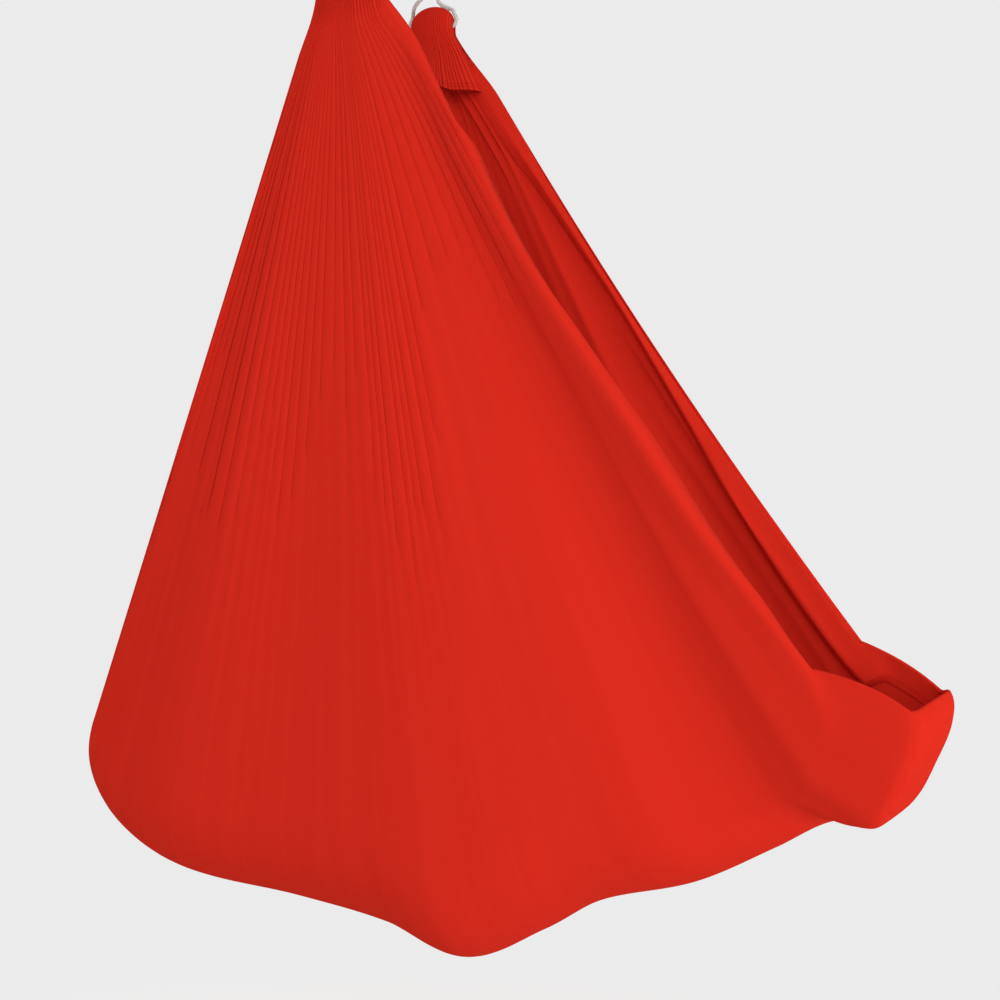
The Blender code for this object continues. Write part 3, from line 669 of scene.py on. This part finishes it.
# Each sling is an endless loop of pale braided cord. It hangs over the lower bow, runs through the
# channel sewn in the end of the cloth, and is closed by a whipped splice on one leg.
SLING_RADIUS = 0.004
SLING_TOP = -0.4838
SLING_DROP = 0.100
SLING_RUN = 0.076
SLING_CORNER = 0.014
SLING_BOW = 0.0098
SLING_STRAIGHT = 0.012
BRAID_STRANDS = 8
BRAID_PITCH = 0.011
BRAID_HEIGHT = 0.00028
SLING_SIDES = 24
SPLICE_LENGTH = 0.022
SPLICE_PLACE = 0.32
SPLICE_TURNS = 18
WHIPPING_RADIUS = 0.0006

cord_white, tree, shader = new_paint("pale_sling_rope", (0.72, 0.72, 0.70), 0.75, 0.0, Sheen_Weight=0.15)
place, patches, specks = grain_on(tree, 110.0)
# Painted shade, with some dirt: the cord's colour darkens to grey-brown in the grooves of its braid.
groove_dirt_and_shade = node(tree, "Attribute", {"attribute_name": "groove_dirt_and_shade"}, {}).outputs["Fac"]
rope_tone = between(tree, patches, (0.70, 0.70, 0.67), (0.76, 0.76, 0.74))
feed(shader, "Base Color", between(tree, groove_dirt_and_shade, rope_tone, (0.42, 0.41, 0.38)))
flat_place, yarns = woven_on(tree, "braid", 0.0008, 0.0016)
emboss(shader, yarns, 0.5, 0.0003)


def marks_along(line):
    """How far each point of a line lies along it."""
    return np.concatenate(([0.0], np.cumsum(np.linalg.norm(np.diff(line, axis=0), axis=1))))


def sling_line(count):
    """The sling's closed middle line: over the bow along Y, turning to a run along X in the channel."""
    top = np.array((0.0, -SLING_BOW))
    corner = np.array((SLING_RUN / 2, SLING_CORNER - SLING_DROP))
    way = top - corner
    length = np.linalg.norm(way)
    way = way / length
    lean = (SLING_CORNER - SLING_BOW) / length
    outward = way * lean + np.array((way[1], -way[0])) * math.sqrt(1 - lean * lean)
    turn = math.atan2(outward[1], outward[0])
    line = [(0.0, -SLING_DROP), (SLING_RUN / 2, -SLING_DROP)]
    line += [tuple(corner + SLING_CORNER * np.array((math.cos(a), math.sin(a))))
             for a in np.linspace(-math.pi / 2, turn, 14)]
    line += [tuple(top + SLING_BOW * np.array((math.cos(a), math.sin(a))))
             for a in np.linspace(turn, math.pi / 2, 14)]
    line = np.array(line)
    marks = marks_along(line)
    at = np.linspace(0, marks[-1], count)
    out, z = np.interp(at, marks, line[:, 0]), np.interp(at, marks, line[:, 1])
    high, low = -2 * SLING_BOW - SLING_STRAIGHT, SLING_CORNER - SLING_DROP + SLING_STRAIGHT
    twist = math.pi / 2 * eased(low, high, z)
    half = np.stack((out * np.cos(twist), out * np.sin(twist), z), axis=-1)
    other = half[-2:0:-1] * np.array((-1, -1, 1))
    return np.concatenate((half, other)), marks[-1] * 2


path, sling_length = sling_line(190)
count = len(path)
tangents = np.roll(path, -1, axis=0) - np.roll(path, 1, axis=0)
tangents /= np.linalg.norm(tangents, axis=1)[:, None]
side_way = Vector(tangents[0]).cross(Vector((0, 1, 0))).normalized()
points = []
groove_dirt_and_shade_values = []
braid_uv = []
marks = marks_along(path)
ends = []
for i in range(count):
    if i:
        side_way = Vector(tangents[i - 1]).rotation_difference(Vector(tangents[i])) @ side_way
    ends.append(side_way.copy())
closing = Vector(tangents[-1]).rotation_difference(Vector(tangents[0])) @ ends[-1]
binormal = ends[0].cross(Vector(tangents[0]))
slip = math.atan2(closing.dot(binormal), closing.dot(ends[0]))
turns = round(sling_length / BRAID_PITCH)
for i in range(count):
    tangent = Vector(tangents[i])
    spin = -slip * i / count
    up = ends[i].cross(tangent)
    side_way = math.cos(spin) * ends[i] + math.sin(spin) * up
    up = side_way.cross(tangent)
    phase = 2 * math.pi * turns * marks[i] / sling_length
    for j in range(SLING_SIDES):
        a = 2 * math.pi * j / SLING_SIDES
        braid = max(math.sin(BRAID_STRANDS / 2 * a + phase), math.sin(BRAID_STRANDS / 2 * a - phase))
        reach = SLING_RADIUS + BRAID_HEIGHT * (braid - 1)
        outward = math.cos(a) * side_way + math.sin(a) * up
        points.append(Vector(path[i]) + reach * outward + Vector((0, 0, SLING_TOP)))
        # Painted shade and dirt in the braid's grooves: larger the deeper a point lies between the strands.
        groove_dirt_and_shade_values.append(min(1.0, max(0.0, 0.50 - 0.75 * braid)))
        braid_uv.append((a * SLING_RADIUS, marks[i]))
sling = mesh_piece("sling_master", points, ring_faces(count, SLING_SIDES, True))
sling.data.attributes.new("groove_dirt_and_shade", "FLOAT", "POINT").data.foreach_set("value", groove_dirt_and_shade_values)
lay_flat(sling, "braid", braid_uv)
thread_path = []
for share in np.linspace(0, 1, SPLICE_TURNS * 12 + 1):
    at = marks[int(count * SPLICE_PLACE)] + (share - 0.5) * SPLICE_LENGTH
    i = int(np.clip(np.searchsorted(marks, at), 1, count - 1))
    f = (at - marks[i - 1]) / (marks[i] - marks[i - 1])
    centre = Vector(path[i - 1] + (path[i] - path[i - 1]) * f) + Vector((0, 0, SLING_TOP))
    tangent = Vector(tangents[i])
    first_way = tangent.cross(Vector((0, 1, 0))).normalized()
    second_way = first_way.cross(tangent)
    a = 2 * math.pi * share * SPLICE_TURNS
    outward = math.cos(a) * first_way + math.sin(a) * second_way
    thread_path.append(centre + (SLING_RADIUS + WHIPPING_RADIUS / 2) * outward)
points, faces = [], []
add_tube(points, faces, thread_path, WHIPPING_RADIUS, 6)
whipping = mesh_piece("whipping_master", points, faces)

for side, y in SIDES:
    hang(sling, side + "_braided_sling", (0, y, 0), "hammock", "sling_rope", cord_white, side + "_sling")
    hang(whipping, side + "_whipped_splice", (0, y, 0), "hammock", "sling_rope", cord_white)
for master in (plate, carabiner, rivet, gate, sleeve, strap, tacks, sling, whipping):
    bpy.data.objects.remove(master)

# The cloth is one sheet of stretchy nylon tricot. Each end is folded over, sewn into a channel and
# bunched on its sling, and the sheet hangs open between the two as a cocoon.
CLOTH_WIDTH = 2.8
CLOTH_LENGTH = 4.0
RIDGE_ROLL = 0.020
EDGE_ROLL = 0.004
RIDGE_HEIGHT = 0.032
RIDGE_FLANK = 0.130
BED_LINE = (
    (-0.612, 1.488, 0.125), (-0.646, 1.583, 0.130), (-0.577, 1.680, 0.150), (-0.425, 1.748, 0.190),
    (-0.163, 1.777, 0.190), (0.033, 1.806, 0.200), (0.182, 1.851, 0.205), (0.323, 1.786, 0.190),
    (0.430, 1.722, 0.170), (0.601, 1.672, 0.140), (0.740, 1.600, 0.095), (0.825, 1.551, 0.078),
    (0.900, 1.534, 0.093), (0.942, 1.524, 0.111), (0.972, 1.492, 0.118), (1.000, 1.434, 0.121),
    (1.019, 1.388, 0.121), (1.026, 1.352, 0.120), (1.025, 1.334, 0.119), (1.019, 1.319, 0.118),
)
GATHER_WIDTH = 0.034
CLOTH_START = 0.075
TOE_SLANT = 0.016
FRONT_EDGE_SAG = 0.125
FRONT_EDGE_DRAW = 0.028
BACK_EDGE_SAG = 0.085
CHANNEL_AXIS = 0.045
CHANNEL_HEM = 0.085
HEAD_HALF_WIDTH = 0.046
HEAD_HALF_DEPTH = 0.029
CORD_HOLD = 0.0055
NECK_HEIGHT = 0.058
HEM_STAND = 0.105
STITCH_LENGTH = 0.0035
STITCH_WIDTH = 0.0014
PLEATS_CLOSE = 28
PLEATS_WIDE = 8
CLOSE_SHARE = 0.62
CLOSE_REACH = (0.40, 0.80)
CLOSE_SOFT_REACH = (0.80, 1.25)
WIDE_SOFT_REACH = (0.40, 0.80)
PLEAT_DEPTH = 0.050
PLEAT_WAVE = 0.055
WIDEST_PITCH = 0.045
HEAD_MARGIN = 0.26
FRONT_MARGIN = 0.10
BACK_MARGIN = 0.06
BACK_CREASES = ((0.085, 0.020, 0.007, 0.35, 0.90), (0.130, 0.024, 0.007, 0.45, 0.92))
FOLD_LEAN = math.radians(24)
FOLD_MOUTH = np.array((0.0, 0.0017, 0.0005, 0.0011, 0.009, 1.0))
FOLD_WIDEST = np.array((0.0, 0.130, 0.060, 0.150, 0.310, 0.5))
FOLD_DEEP = np.array((1.0, 0.97, 0.04, 0.0, 0.0, 0.0))
FOLD_SHOULDER = np.array((0.022, 0.022, 0.022, 0.013, 0.004, 0.0))

cloth_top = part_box("hammock_cloth")[1].z

bed_points = np.array(BED_LINE)
bed_marks = marks_along(bed_points[:, :2])
bed_steps = np.diff(bed_marks)
inner_slopes = (bed_points[2:] - bed_points[:-2]) / (bed_marks[2:] - bed_marks[:-2])[:, None]
end_slopes = np.diff(bed_points, axis=0)[[0, -1]] / bed_steps[[0, -1], None]
bed_slopes = np.vstack((end_slopes[:1], inner_slopes, end_slopes[1:]))


def bed_at(share):
    """The bed's reach along X, its drop below the gathers and its half width, at shares of its line."""
    along = np.clip(share, 0.0, 1.0) * bed_marks[-1]
    i = np.clip(np.searchsorted(bed_marks, along) - 1, 0, len(bed_marks) - 2)
    gap = (bed_marks[i + 1] - bed_marks[i])[..., None]
    f = (along - bed_marks[i])[..., None] / gap
    place = ((2 * f ** 3 - 3 * f ** 2 + 1) * bed_points[i] + (f ** 3 - 2 * f ** 2 + f) * gap * bed_slopes[i]
             + (3 * f ** 2 - 2 * f ** 3) * bed_points[i + 1] + (f ** 3 - f ** 2) * gap * bed_slopes[i + 1])
    return place[..., 0], place[..., 1], place[..., 2]


def cocoon(share, way, edge):
    """Places on the cloth's front half, by the share across and the way: to 1 down, to 2 round the bed."""
    edge_sag, edge_draw, toe_slant = edge
    reach, drop, half = bed_at(share)
    gather = GATHER_WIDTH * (share - 0.5)
    length = np.hypot(reach - gather, drop)
    ray_x = (reach - gather) / length
    ray_z = drop / length
    f = np.clip(way, 0.0, 1.0)
    a = np.clip(way - 1.0, 0.0, 1.0) * math.pi / 2
    start = CLOTH_START / ray_z
    corner = 2.0 + 26.0 * eased(0.84, 0.95, share)
    stretch = (np.cos(a) ** corner + np.sin(a) ** corner) ** (-1 / corner)
    pocket = half * (1 + 0.25 * eased(0.88, 1.0, share))
    along = start + (length - pocket - start) * f + pocket * stretch * np.sin(a)
    inside = 1 - stretch * np.cos(a)
    y = (spacing / 2 - half) * f + half * inside
    slant = toe_slant * eased(0.82, 0.93, share) * eased(0.60, 1.0, way) * (1 - inside)
    sag = f * (2 - f) * (1 - np.sin(a)) * edge_sag
    draw = eased(0.06, 0.44, f) * (1 - eased(0.72, 1.05, f)) * edge_draw
    bow = (sag + draw) * np.maximum(0.0, 2 * share - 1) ** 2
    x = gather + ray_x * along - ray_z * bow - slant
    z = cloth_top - ray_z * along - ray_x * bow
    return np.stack((x, y * np.ones_like(x), z), axis=-1)


def cloth_half(edge, rng, head_margin, foot_margin, foot_roll, stand, ridge, creases, hem_drop,
               wide_reach, streaks):
    """One half of the sheet, from its channel's hem to the bed's lowest line, as rows of places."""
    counts = {"hem": 7, "over": 12, "neck": 4, "curtain": 64, "bed": 22}
    hem = [(CHANNEL_HEM + (CHANNEL_AXIS - CHANNEL_HEM) * k / counts["hem"], 180.0, 0.0)
           for k in range(counts["hem"])]
    over = [(CHANNEL_AXIS, 180.0 * (1 - k / counts["over"]), 0.0) for k in range(counts["over"])]
    neck = [(CHANNEL_AXIS + (CLOTH_START - CHANNEL_AXIS) * k / counts["neck"], 0.0, 0.0)
            for k in range(counts["neck"])]
    curtain = [(CLOTH_START, 0.0, (k / counts["curtain"]) ** 1.15) for k in range(counts["curtain"])]
    bed = [(CLOTH_START, 0.0, 1 + k / counts["bed"]) for k in range(counts["bed"] + 1)]
    rows = np.array(hem + over + neck + curtain + bed)
    down, turn, way = (rows[:, k, None] for k in range(3))
    turn = np.radians(turn)
    hem_part = np.clip((down - CHANNEL_AXIS) / (CHANNEL_HEM - CHANNEL_AXIS), 0, 1) * (turn > 3.0)

    widths = np.concatenate((rng.uniform(0.6, 1.5, PLEATS_CLOSE), rng.uniform(0.7, 1.3, PLEATS_WIDE)))
    widths[:PLEATS_CLOSE] *= CLOSE_SHARE / widths[:PLEATS_CLOSE].sum()
    widths[PLEATS_CLOSE:] *= (1 - CLOSE_SHARE) / widths[PLEATS_CLOSE:].sum()
    borders = np.concatenate(([0.0], np.cumsum(widths)))
    reach_down, soft_down = (
        np.concatenate((rng.uniform(*close, PLEATS_CLOSE), rng.uniform(*wide, PLEATS_WIDE)))
        for close, wide in ((CLOSE_REACH, wide_reach), (CLOSE_SOFT_REACH, WIDE_SOFT_REACH)))
    strength = rng.uniform(0.6, 1.0, len(widths))
    softness = rng.uniform(0.2, 1.3, len(widths))
    softness[PLEATS_CLOSE:] *= streaks
    soft_down[PLEATS_CLOSE:] *= 1 + 0.4 * (streaks > 1)

    count = len(widths)
    half_columns = len(FOLD_MOUTH) - 1
    columns = 2 * half_columns
    step_no = np.arange(count * columns + 1)
    k = np.minimum(step_no // columns, count - 1)
    in_pleat = step_no - k * columns
    from_fold = np.minimum(in_pleat, columns - in_pleat)
    nearest = (step_no + half_columns) // columns
    before = np.clip(nearest - 1, 0, count - 1)
    after = np.clip(nearest, 0, count - 1)
    fold_strength, fold_reach, fold_soft, fold_end = (
        (values[before] + values[after]) / 2 for values in (strength, reach_down, softness, soft_down))
    fading = 1 - eased(fold_reach - 0.30, fold_reach, way)
    shut = np.minimum(1.0, fading * 14)
    row_width = np.linalg.norm(cocoon(1.0 + 0 * way, way, edge) - cocoon(0 * way, way, edge), axis=-1)
    row_width = np.maximum(row_width, 2 * HEAD_HALF_WIDTH * (way < 0.05))
    pitch = widths[k] * row_width
    open_place = from_fold / columns
    shut_place = np.minimum(FOLD_MOUTH[from_fold] / pitch, FOLD_WIDEST[from_fold])
    local = open_place + (shut_place - open_place) * shut
    local = np.where(in_pleat > half_columns, 1 - local, local)
    across = borders[k] + widths[k] * local
    pitch = np.minimum(pitch, WIDEST_PITCH)
    soft = (1 + np.cos(2 * math.pi * local)) / 2
    fold = PLEAT_DEPTH * fold_strength * fading * FOLD_DEEP[from_fold]
    fold = np.minimum(fold, 0.6 * across * row_width)
    leaned = fold * math.cos(FOLD_LEAN) * eased(0.0, 0.06, way)
    into = np.sqrt(fold ** 2 - leaned ** 2)
    depth = into + pitch * shut * FOLD_SHOULDER[from_fold]
    depth = depth + PLEAT_WAVE * pitch * fold_soft * soft * (1 - eased(fold_end - 0.45, fold_end, way))

    scale = 0.50 + 0.50 * np.clip(way, 0, 1)
    crest = 0.012 + 0.060 * eased(0.86, 1.12, way)
    rise = ridge * scale * eased(0.02, 0.25, way) * (1 - eased(0.62, 1.14, way))

    def edge_relief(away):
        """How far the cloth stands in from its smooth place near the foot edge, by the distance from it."""
        left = away / scale - crest
        flank = RIDGE_FLANK * (1 - 0.35 * eased(0.5, 1.0, way))
        hill = np.where(left > 0, 1 - eased(0.0, flank, left), 1 - 0.85 * eased(0.0, 0.040, -left))
        relief = -rise * hill
        for place, reach, height, first, last in creases:
            wave = np.maximum(0.0, 1 - np.abs(away / scale - place) / reach)
            lasting = eased(first, first + 0.2, way) * (1 - eased(last, last + 0.15, way))
            relief = relief + height * wave ** 2 * lasting
        return relief

    margins = []
    for end, margin, roll, flat_from, flat_to, stood in ((0.0, head_margin, EDGE_ROLL, 0.45, 0.85, 0.0),
                                                         (1.0, foot_margin, foot_roll, 0.30, 0.60, stand)):
        inner = abs(end - 0.02)
        at_edge, beside = (cocoon(place + 0 * way, way, edge) for place in (end, inner))
        span = np.linalg.norm(at_edge - beside, axis=-1) / 0.02
        radius = 0.0015 + (roll * (0.4 + 0.6 * scale) - 0.0015) * eased(0.0, 0.06, way)
        radius = radius + (EDGE_ROLL - radius) * eased(0.60, 1.08, way)
        theta = np.linspace(0, math.pi, 9)[1:]
        run = np.linspace(0, 1, 9)[1:]
        tuck = np.linspace(0, 1, 5)[1:]
        spread = eased(0.40, 0.90, way) * (1 - 0.7 * eased(0.92, 1.15, way))
        width = 0.004 + 0.016 * eased(0.0, 0.2, way) + margin * spread
        folded = np.maximum(1 - eased(flat_from, flat_to, way), stood * (1 - eased(0.95, 1.2, way)))
        deep_end = np.minimum(2 * radius + 0.5 * width, 0.004 + (0.022 + 2 * radius) * folded)
        out = np.hstack((radius * (1 - np.sin(theta)), radius + width * run,
                         radius + width + (0.006 + 0.016 * stood) * tuck))
        deep = np.hstack((radius * (1 - np.cos(theta)), 2 * radius + (deep_end - 2 * radius) * run,
                          deep_end + (0.003 - deep_end) * tuck ** 2))
        margins.append((out, deep, span, radius))

    head_out, head_deep, head_span, head_radius = margins[0]
    foot_out, foot_deep, foot_span, foot_radius = margins[1]
    low = head_radius / head_span
    high = 1 - foot_radius / foot_span
    share = low + (high - low) * across - leaned / np.maximum(row_width, 0.05)
    depth = depth + edge_relief((1 - share) * foot_span)
    foot_deep = foot_deep + edge_relief(foot_out)
    share = np.hstack((head_out[:, ::-1] / head_span, share, 1 - foot_out / foot_span))
    share = np.clip(share, 0.0, 1.0)
    depth = np.hstack((head_deep[:, ::-1], depth, foot_deep))

    step = 1e-4
    rows_way = way + 0 * share
    place = cocoon(share, rows_way, edge)
    by_share = (cocoon(np.clip(share + step, 0, 1), rows_way, edge)
                - cocoon(np.clip(share - step, 0, 1), rows_way, edge))
    by_way = cocoon(share, rows_way + step, edge) - cocoon(share, rows_way - step, edge)
    inward = np.cross(by_share, by_way)
    inward /= np.linalg.norm(inward, axis=-1, keepdims=True)

    frill = hem_drop * (0.25 + 0.75 * eased(0.10, 0.75, share))
    level = np.where(way > 0, cloth_top - place[..., 2], down + hem_part * frill)
    mix = np.where(turn > 0, 1.0, 1 - eased(0.06, 0.20, level))[..., None]
    xi = 2 * share - 1
    oval = np.maximum(0.0, 1 - xi ** 2) ** 0.4
    below = np.maximum(0.0, level - NECK_HEIGHT)
    slope_left = -bed_points[0, 0] / bed_points[0, 1]
    slope_right = bed_points[-1, 0] / bed_points[-1, 1]
    half_width = HEAD_HALF_WIDTH + below * (slope_left + slope_right) / 2 * 0.6
    centre_x = below * (slope_right - slope_left) / 2
    neck_depth = HEAD_HALF_DEPTH + (0.006 - HEAD_HALF_DEPTH) * eased(NECK_HEIGHT, 0.17, level)
    hem_stand = 0.030 * eased(CHANNEL_HEM, 0.15, level)
    neck_depth = neck_depth + hem_part * (HEAD_HALF_DEPTH - neck_depth + hem_stand)
    half_depth = CORD_HOLD + (neck_depth - CORD_HOLD) * oval
    crown = CORD_HOLD + (CHANNEL_AXIS - CORD_HOLD) * oval
    bundle = np.stack((centre_x + half_width * xi, -half_depth * np.cos(turn),
                       cloth_top - level + crown * np.sin(turn)), axis=-1)
    to_axis = np.stack((0 * xi, np.cos(turn) + 0 * xi, -np.sin(turn) + 0 * xi), axis=-1)
    place = place * (1 - mix) + bundle * mix
    straight = np.where(turn > 0, 1.0, 1 - eased(0.22, 0.40, level))[..., None]
    inward = inward * (1 - straight) + to_axis * straight
    inward /= np.linalg.norm(inward, axis=-1, keepdims=True)
    around = half_depth * np.abs(np.cos(turn)) + crown * np.sin(turn) - CORD_HOLD
    beside = half_depth - 0.001 + 0.5 * eased(0.12, 0.40, level)
    room = np.maximum(np.where(turn > 0, around, beside), 0.0005)
    depth = np.where(depth > 0, room * (1 - np.exp(-np.maximum(depth, 0.0) / room)), depth)
    return place + inward * depth[..., None]


rng = np.random.default_rng(7)
front_rows = cloth_half((FRONT_EDGE_SAG, FRONT_EDGE_DRAW, TOE_SLANT), rng, HEAD_MARGIN, FRONT_MARGIN,
                        RIDGE_ROLL, 0.0, RIDGE_HEIGHT, (), 0.0, (0.30, 0.55), 1.0)
back_rows = cloth_half((BACK_EDGE_SAG, 0.0, 0.0), rng, HEAD_MARGIN, BACK_MARGIN,
                       EDGE_ROLL, 0.6, 0.0, BACK_CREASES, HEM_STAND, (0.12, 0.28), 2.0)
back_rows[..., 1] = spacing - back_rows[..., 1]
grid = np.concatenate((front_rows, back_rows[-2::-1]))
row_count, column_count = grid.shape[:2]

index = np.arange(row_count * column_count).reshape(row_count, column_count)
faces = np.stack((index[:-1, :-1], index[:-1, 1:], index[1:, 1:], index[1:, :-1]), axis=-1).reshape(-1, 4)
cloth_mesh = bpy.data.meshes.new("tricot_cloth")
cloth_mesh.from_pydata(grid.reshape(-1, 3).tolist(), [], faces.tolist())
cloth_mesh.shade_smooth()
uv_layer = cloth_mesh.uv_layers.new(name="cut")
row_steps = np.linalg.norm(np.diff(grid, axis=0), axis=2).mean(axis=1)
row_share = np.concatenate(([0.0], np.cumsum(row_steps))) / row_steps.sum()
column_share = np.linspace(0, 1, column_count)
flat = np.stack(np.meshgrid(row_share * CLOTH_LENGTH, column_share * CLOTH_WIDTH, indexing="ij"), axis=-1)
flat = flat.reshape(-1, 2)[:, ::-1]
uv_layer.data.foreach_set("uv", flat[faces.ravel()].astype(np.float32).ravel())
cloth = new_object("tricot_cloth", cloth_mesh)

tricot, tree, shader = new_paint("red_nylon_tricot", (0.72, 0.026, 0.014), 0.62, 0.0, Specular_IOR_Level=0.0,
                                 Sheen_Weight=0.12, Sheen_Tint=(1.0, 0.12, 0.07, 1.0))
flat_place, knit = woven_on(tree, "cut", 0.0018, 0.0015)
drawn = node(tree, "Mapping", {}, {"Vector": flat_place, "Scale": (1.0, 0.05, 1.0)})
streaks = node(tree, "Group", {"node_tree": grain}, {"Vector": drawn.outputs[0], "Scale": 30.0})
ends = node(tree, "SeparateXYZ", {}, {0: flat_place})


def stitched(tree, across, along, middle, lines):
    """1 on the dashes of sewn rows at those distances from both edges of the sheet, and 0 off them."""
    reach = maths(tree, "ABSOLUTE", maths(tree, "SUBTRACT", across, middle))
    rows = [maths(tree, "COMPARE", reach, middle - line, STITCH_WIDTH / 2) for line in lines]
    while len(rows) > 1:
        rows = [maths(tree, "MAXIMUM", *rows[:2])] + rows[2:]
    dash = maths(tree, "PINGPONG", along, STITCH_LENGTH)
    return maths(tree, "MULTIPLY", rows[0], maths(tree, "GREATER_THAN", dash, STITCH_LENGTH * 0.3))


channel_rows = [row_share[k] * CLOTH_LENGTH + step for k in (1, 24) for step in (0.0, 0.006)]
channel = stitched(tree, ends.outputs["Y"], ends.outputs["X"], CLOTH_LENGTH / 2, channel_rows)
selvedge = stitched(tree, ends.outputs["X"], ends.outputs["Y"], CLOTH_WIDTH / 2, (0.016, 0.022))
sewn = maths(tree, "MAXIMUM", channel, selvedge)
# Painted shade: the red is streaked lighter and darker along the cloth's length, standing in for the shade of
# fine pleats.
pleat_shade_streaks = between(tree, streaks.outputs["Patches"], (0.705, 0.0250, 0.0132), (0.740, 0.0274, 0.0146))
# Painted shade: the knit's hollows are darker, by up to 7 percent.
colour_with_painted_shade = node(tree, "Mix", {"data_type": "RGBA", "blend_type": "MULTIPLY"},
             {0: 1.0, 6: pleat_shade_streaks, 7: between(tree, knit, (0.93, 0.93, 0.93), (1.0, 1.0, 1.0))})
feed(shader, "Base Color", between(tree, sewn, colour_with_painted_shade.outputs[2], (0.50, 0.010, 0.006)))
feed(shader, "Roughness", between(tree, streaks.outputs["Grain"], 0.56, 0.70))
emboss(shader, maths(tree, "MULTIPLY_ADD", sewn, 1.5, knit), 0.30, 0.0004)
cloth_mesh.materials.append(tricot)
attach(cloth, "hammock")
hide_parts("hammock_cloth")

# The studio: a plain pale floor and sky, a broad lamp in front, one at the right and a weak one behind.
FLOOR_HEIGHT = -3.0
BACKDROP = (0.831, 0.831, 0.831, 1.0)
FLOOR_LIFT = 0.30
FLOOR_FADE = (0.9, 2.2)
AMBIENT_STRENGTH = 0.56
LAMP_AIM = Vector((0.2, 0.19, -1.6))
floor = add_shape(bpy.ops.mesh.primitive_circle_add, vertices=96, radius=30.0, fill_type="NGON",
                  location=(0, 0, FLOOR_HEIGHT))
floor.name = "floor"
floor_paint, tree, shader = new_paint("pale_floor", (0.8, 0.8, 0.8), 0.9, 0.0, Specular_IOR_Level=0.0,
                                      Emission_Color=(1.0, 1.0, 1.0, 1.0))


def seen_directly(tree):
    """1 for a ray that shows the backdrop itself, also in a gloss or through glass, and 0 for its light."""
    path = node(tree, "LightPath", {}, {}).outputs
    mirrored = maths(tree, "MAXIMUM", path["Is Camera Ray"], path["Is Glossy Ray"])
    return maths(tree, "MAXIMUM", mirrored, path["Is Transmission Ray"])


seen = seen_directly(tree)
feed(shader, "Emission Strength", maths(tree, "MULTIPLY", seen, FLOOR_LIFT))
place = node(tree, "TexCoord", {}, {}).outputs["Object"]
far = node(tree, "VectorMath", {"operation": "LENGTH"}, {0: place})
fade = node(tree, "MapRange", {"interpolation_type": "SMOOTHSTEP"},
            {"Value": far.outputs["Value"], "From Min": FLOOR_FADE[0], "From Max": FLOOR_FADE[1]})
hidden = maths(tree, "MULTIPLY", fade.outputs["Result"], seen)
glow = node(tree, "Emission", {}, {"Color": BACKDROP})
mixer = node(tree, "MixShader", {}, {0: hidden, 1: shader.outputs[0], 2: glow.outputs[0]})
tree.links.new(mixer.outputs[0], tree.nodes["Material Output"].inputs["Surface"])
floor.data.materials.append(floor_paint)

world = bpy.data.worlds.new("studio")
bpy.context.scene.world = world
world.use_nodes = True
tree = world.node_tree
tree.nodes.clear()
sky = node(tree, "Background", {}, {"Color": BACKDROP})
ambient = node(tree, "Background", {}, {"Color": (1.0, 0.98, 0.96, 1.0), "Strength": AMBIENT_STRENGTH})
mixer = node(tree, "MixShader", {}, {0: seen_directly(tree), 1: ambient.outputs[0], 2: sky.outputs[0]})
node(tree, "OutputWorld", {}, {"Surface": mixer.outputs[0]})

for name, place, size, power in (
    ("right_lamp", (4.6, -0.6, -2.5), 1.6, 78.0),
    ("front_lamp", (1.7, -3.8, -0.3), 3.4, 64.0),
    ("back_lamp", (-3.2, 3.4, -0.4), 3.0, 45.0),
):
    lamp = bpy.data.lights.new(name, "AREA")
    lamp.size = size
    lamp.energy = power
    holder = new_object(name, lamp)
    holder.location = place
    holder.visible_camera = False
    holder.rotation_euler = (LAMP_AIM - Vector(place)).to_track_quat("-Z", "Y").to_euler()
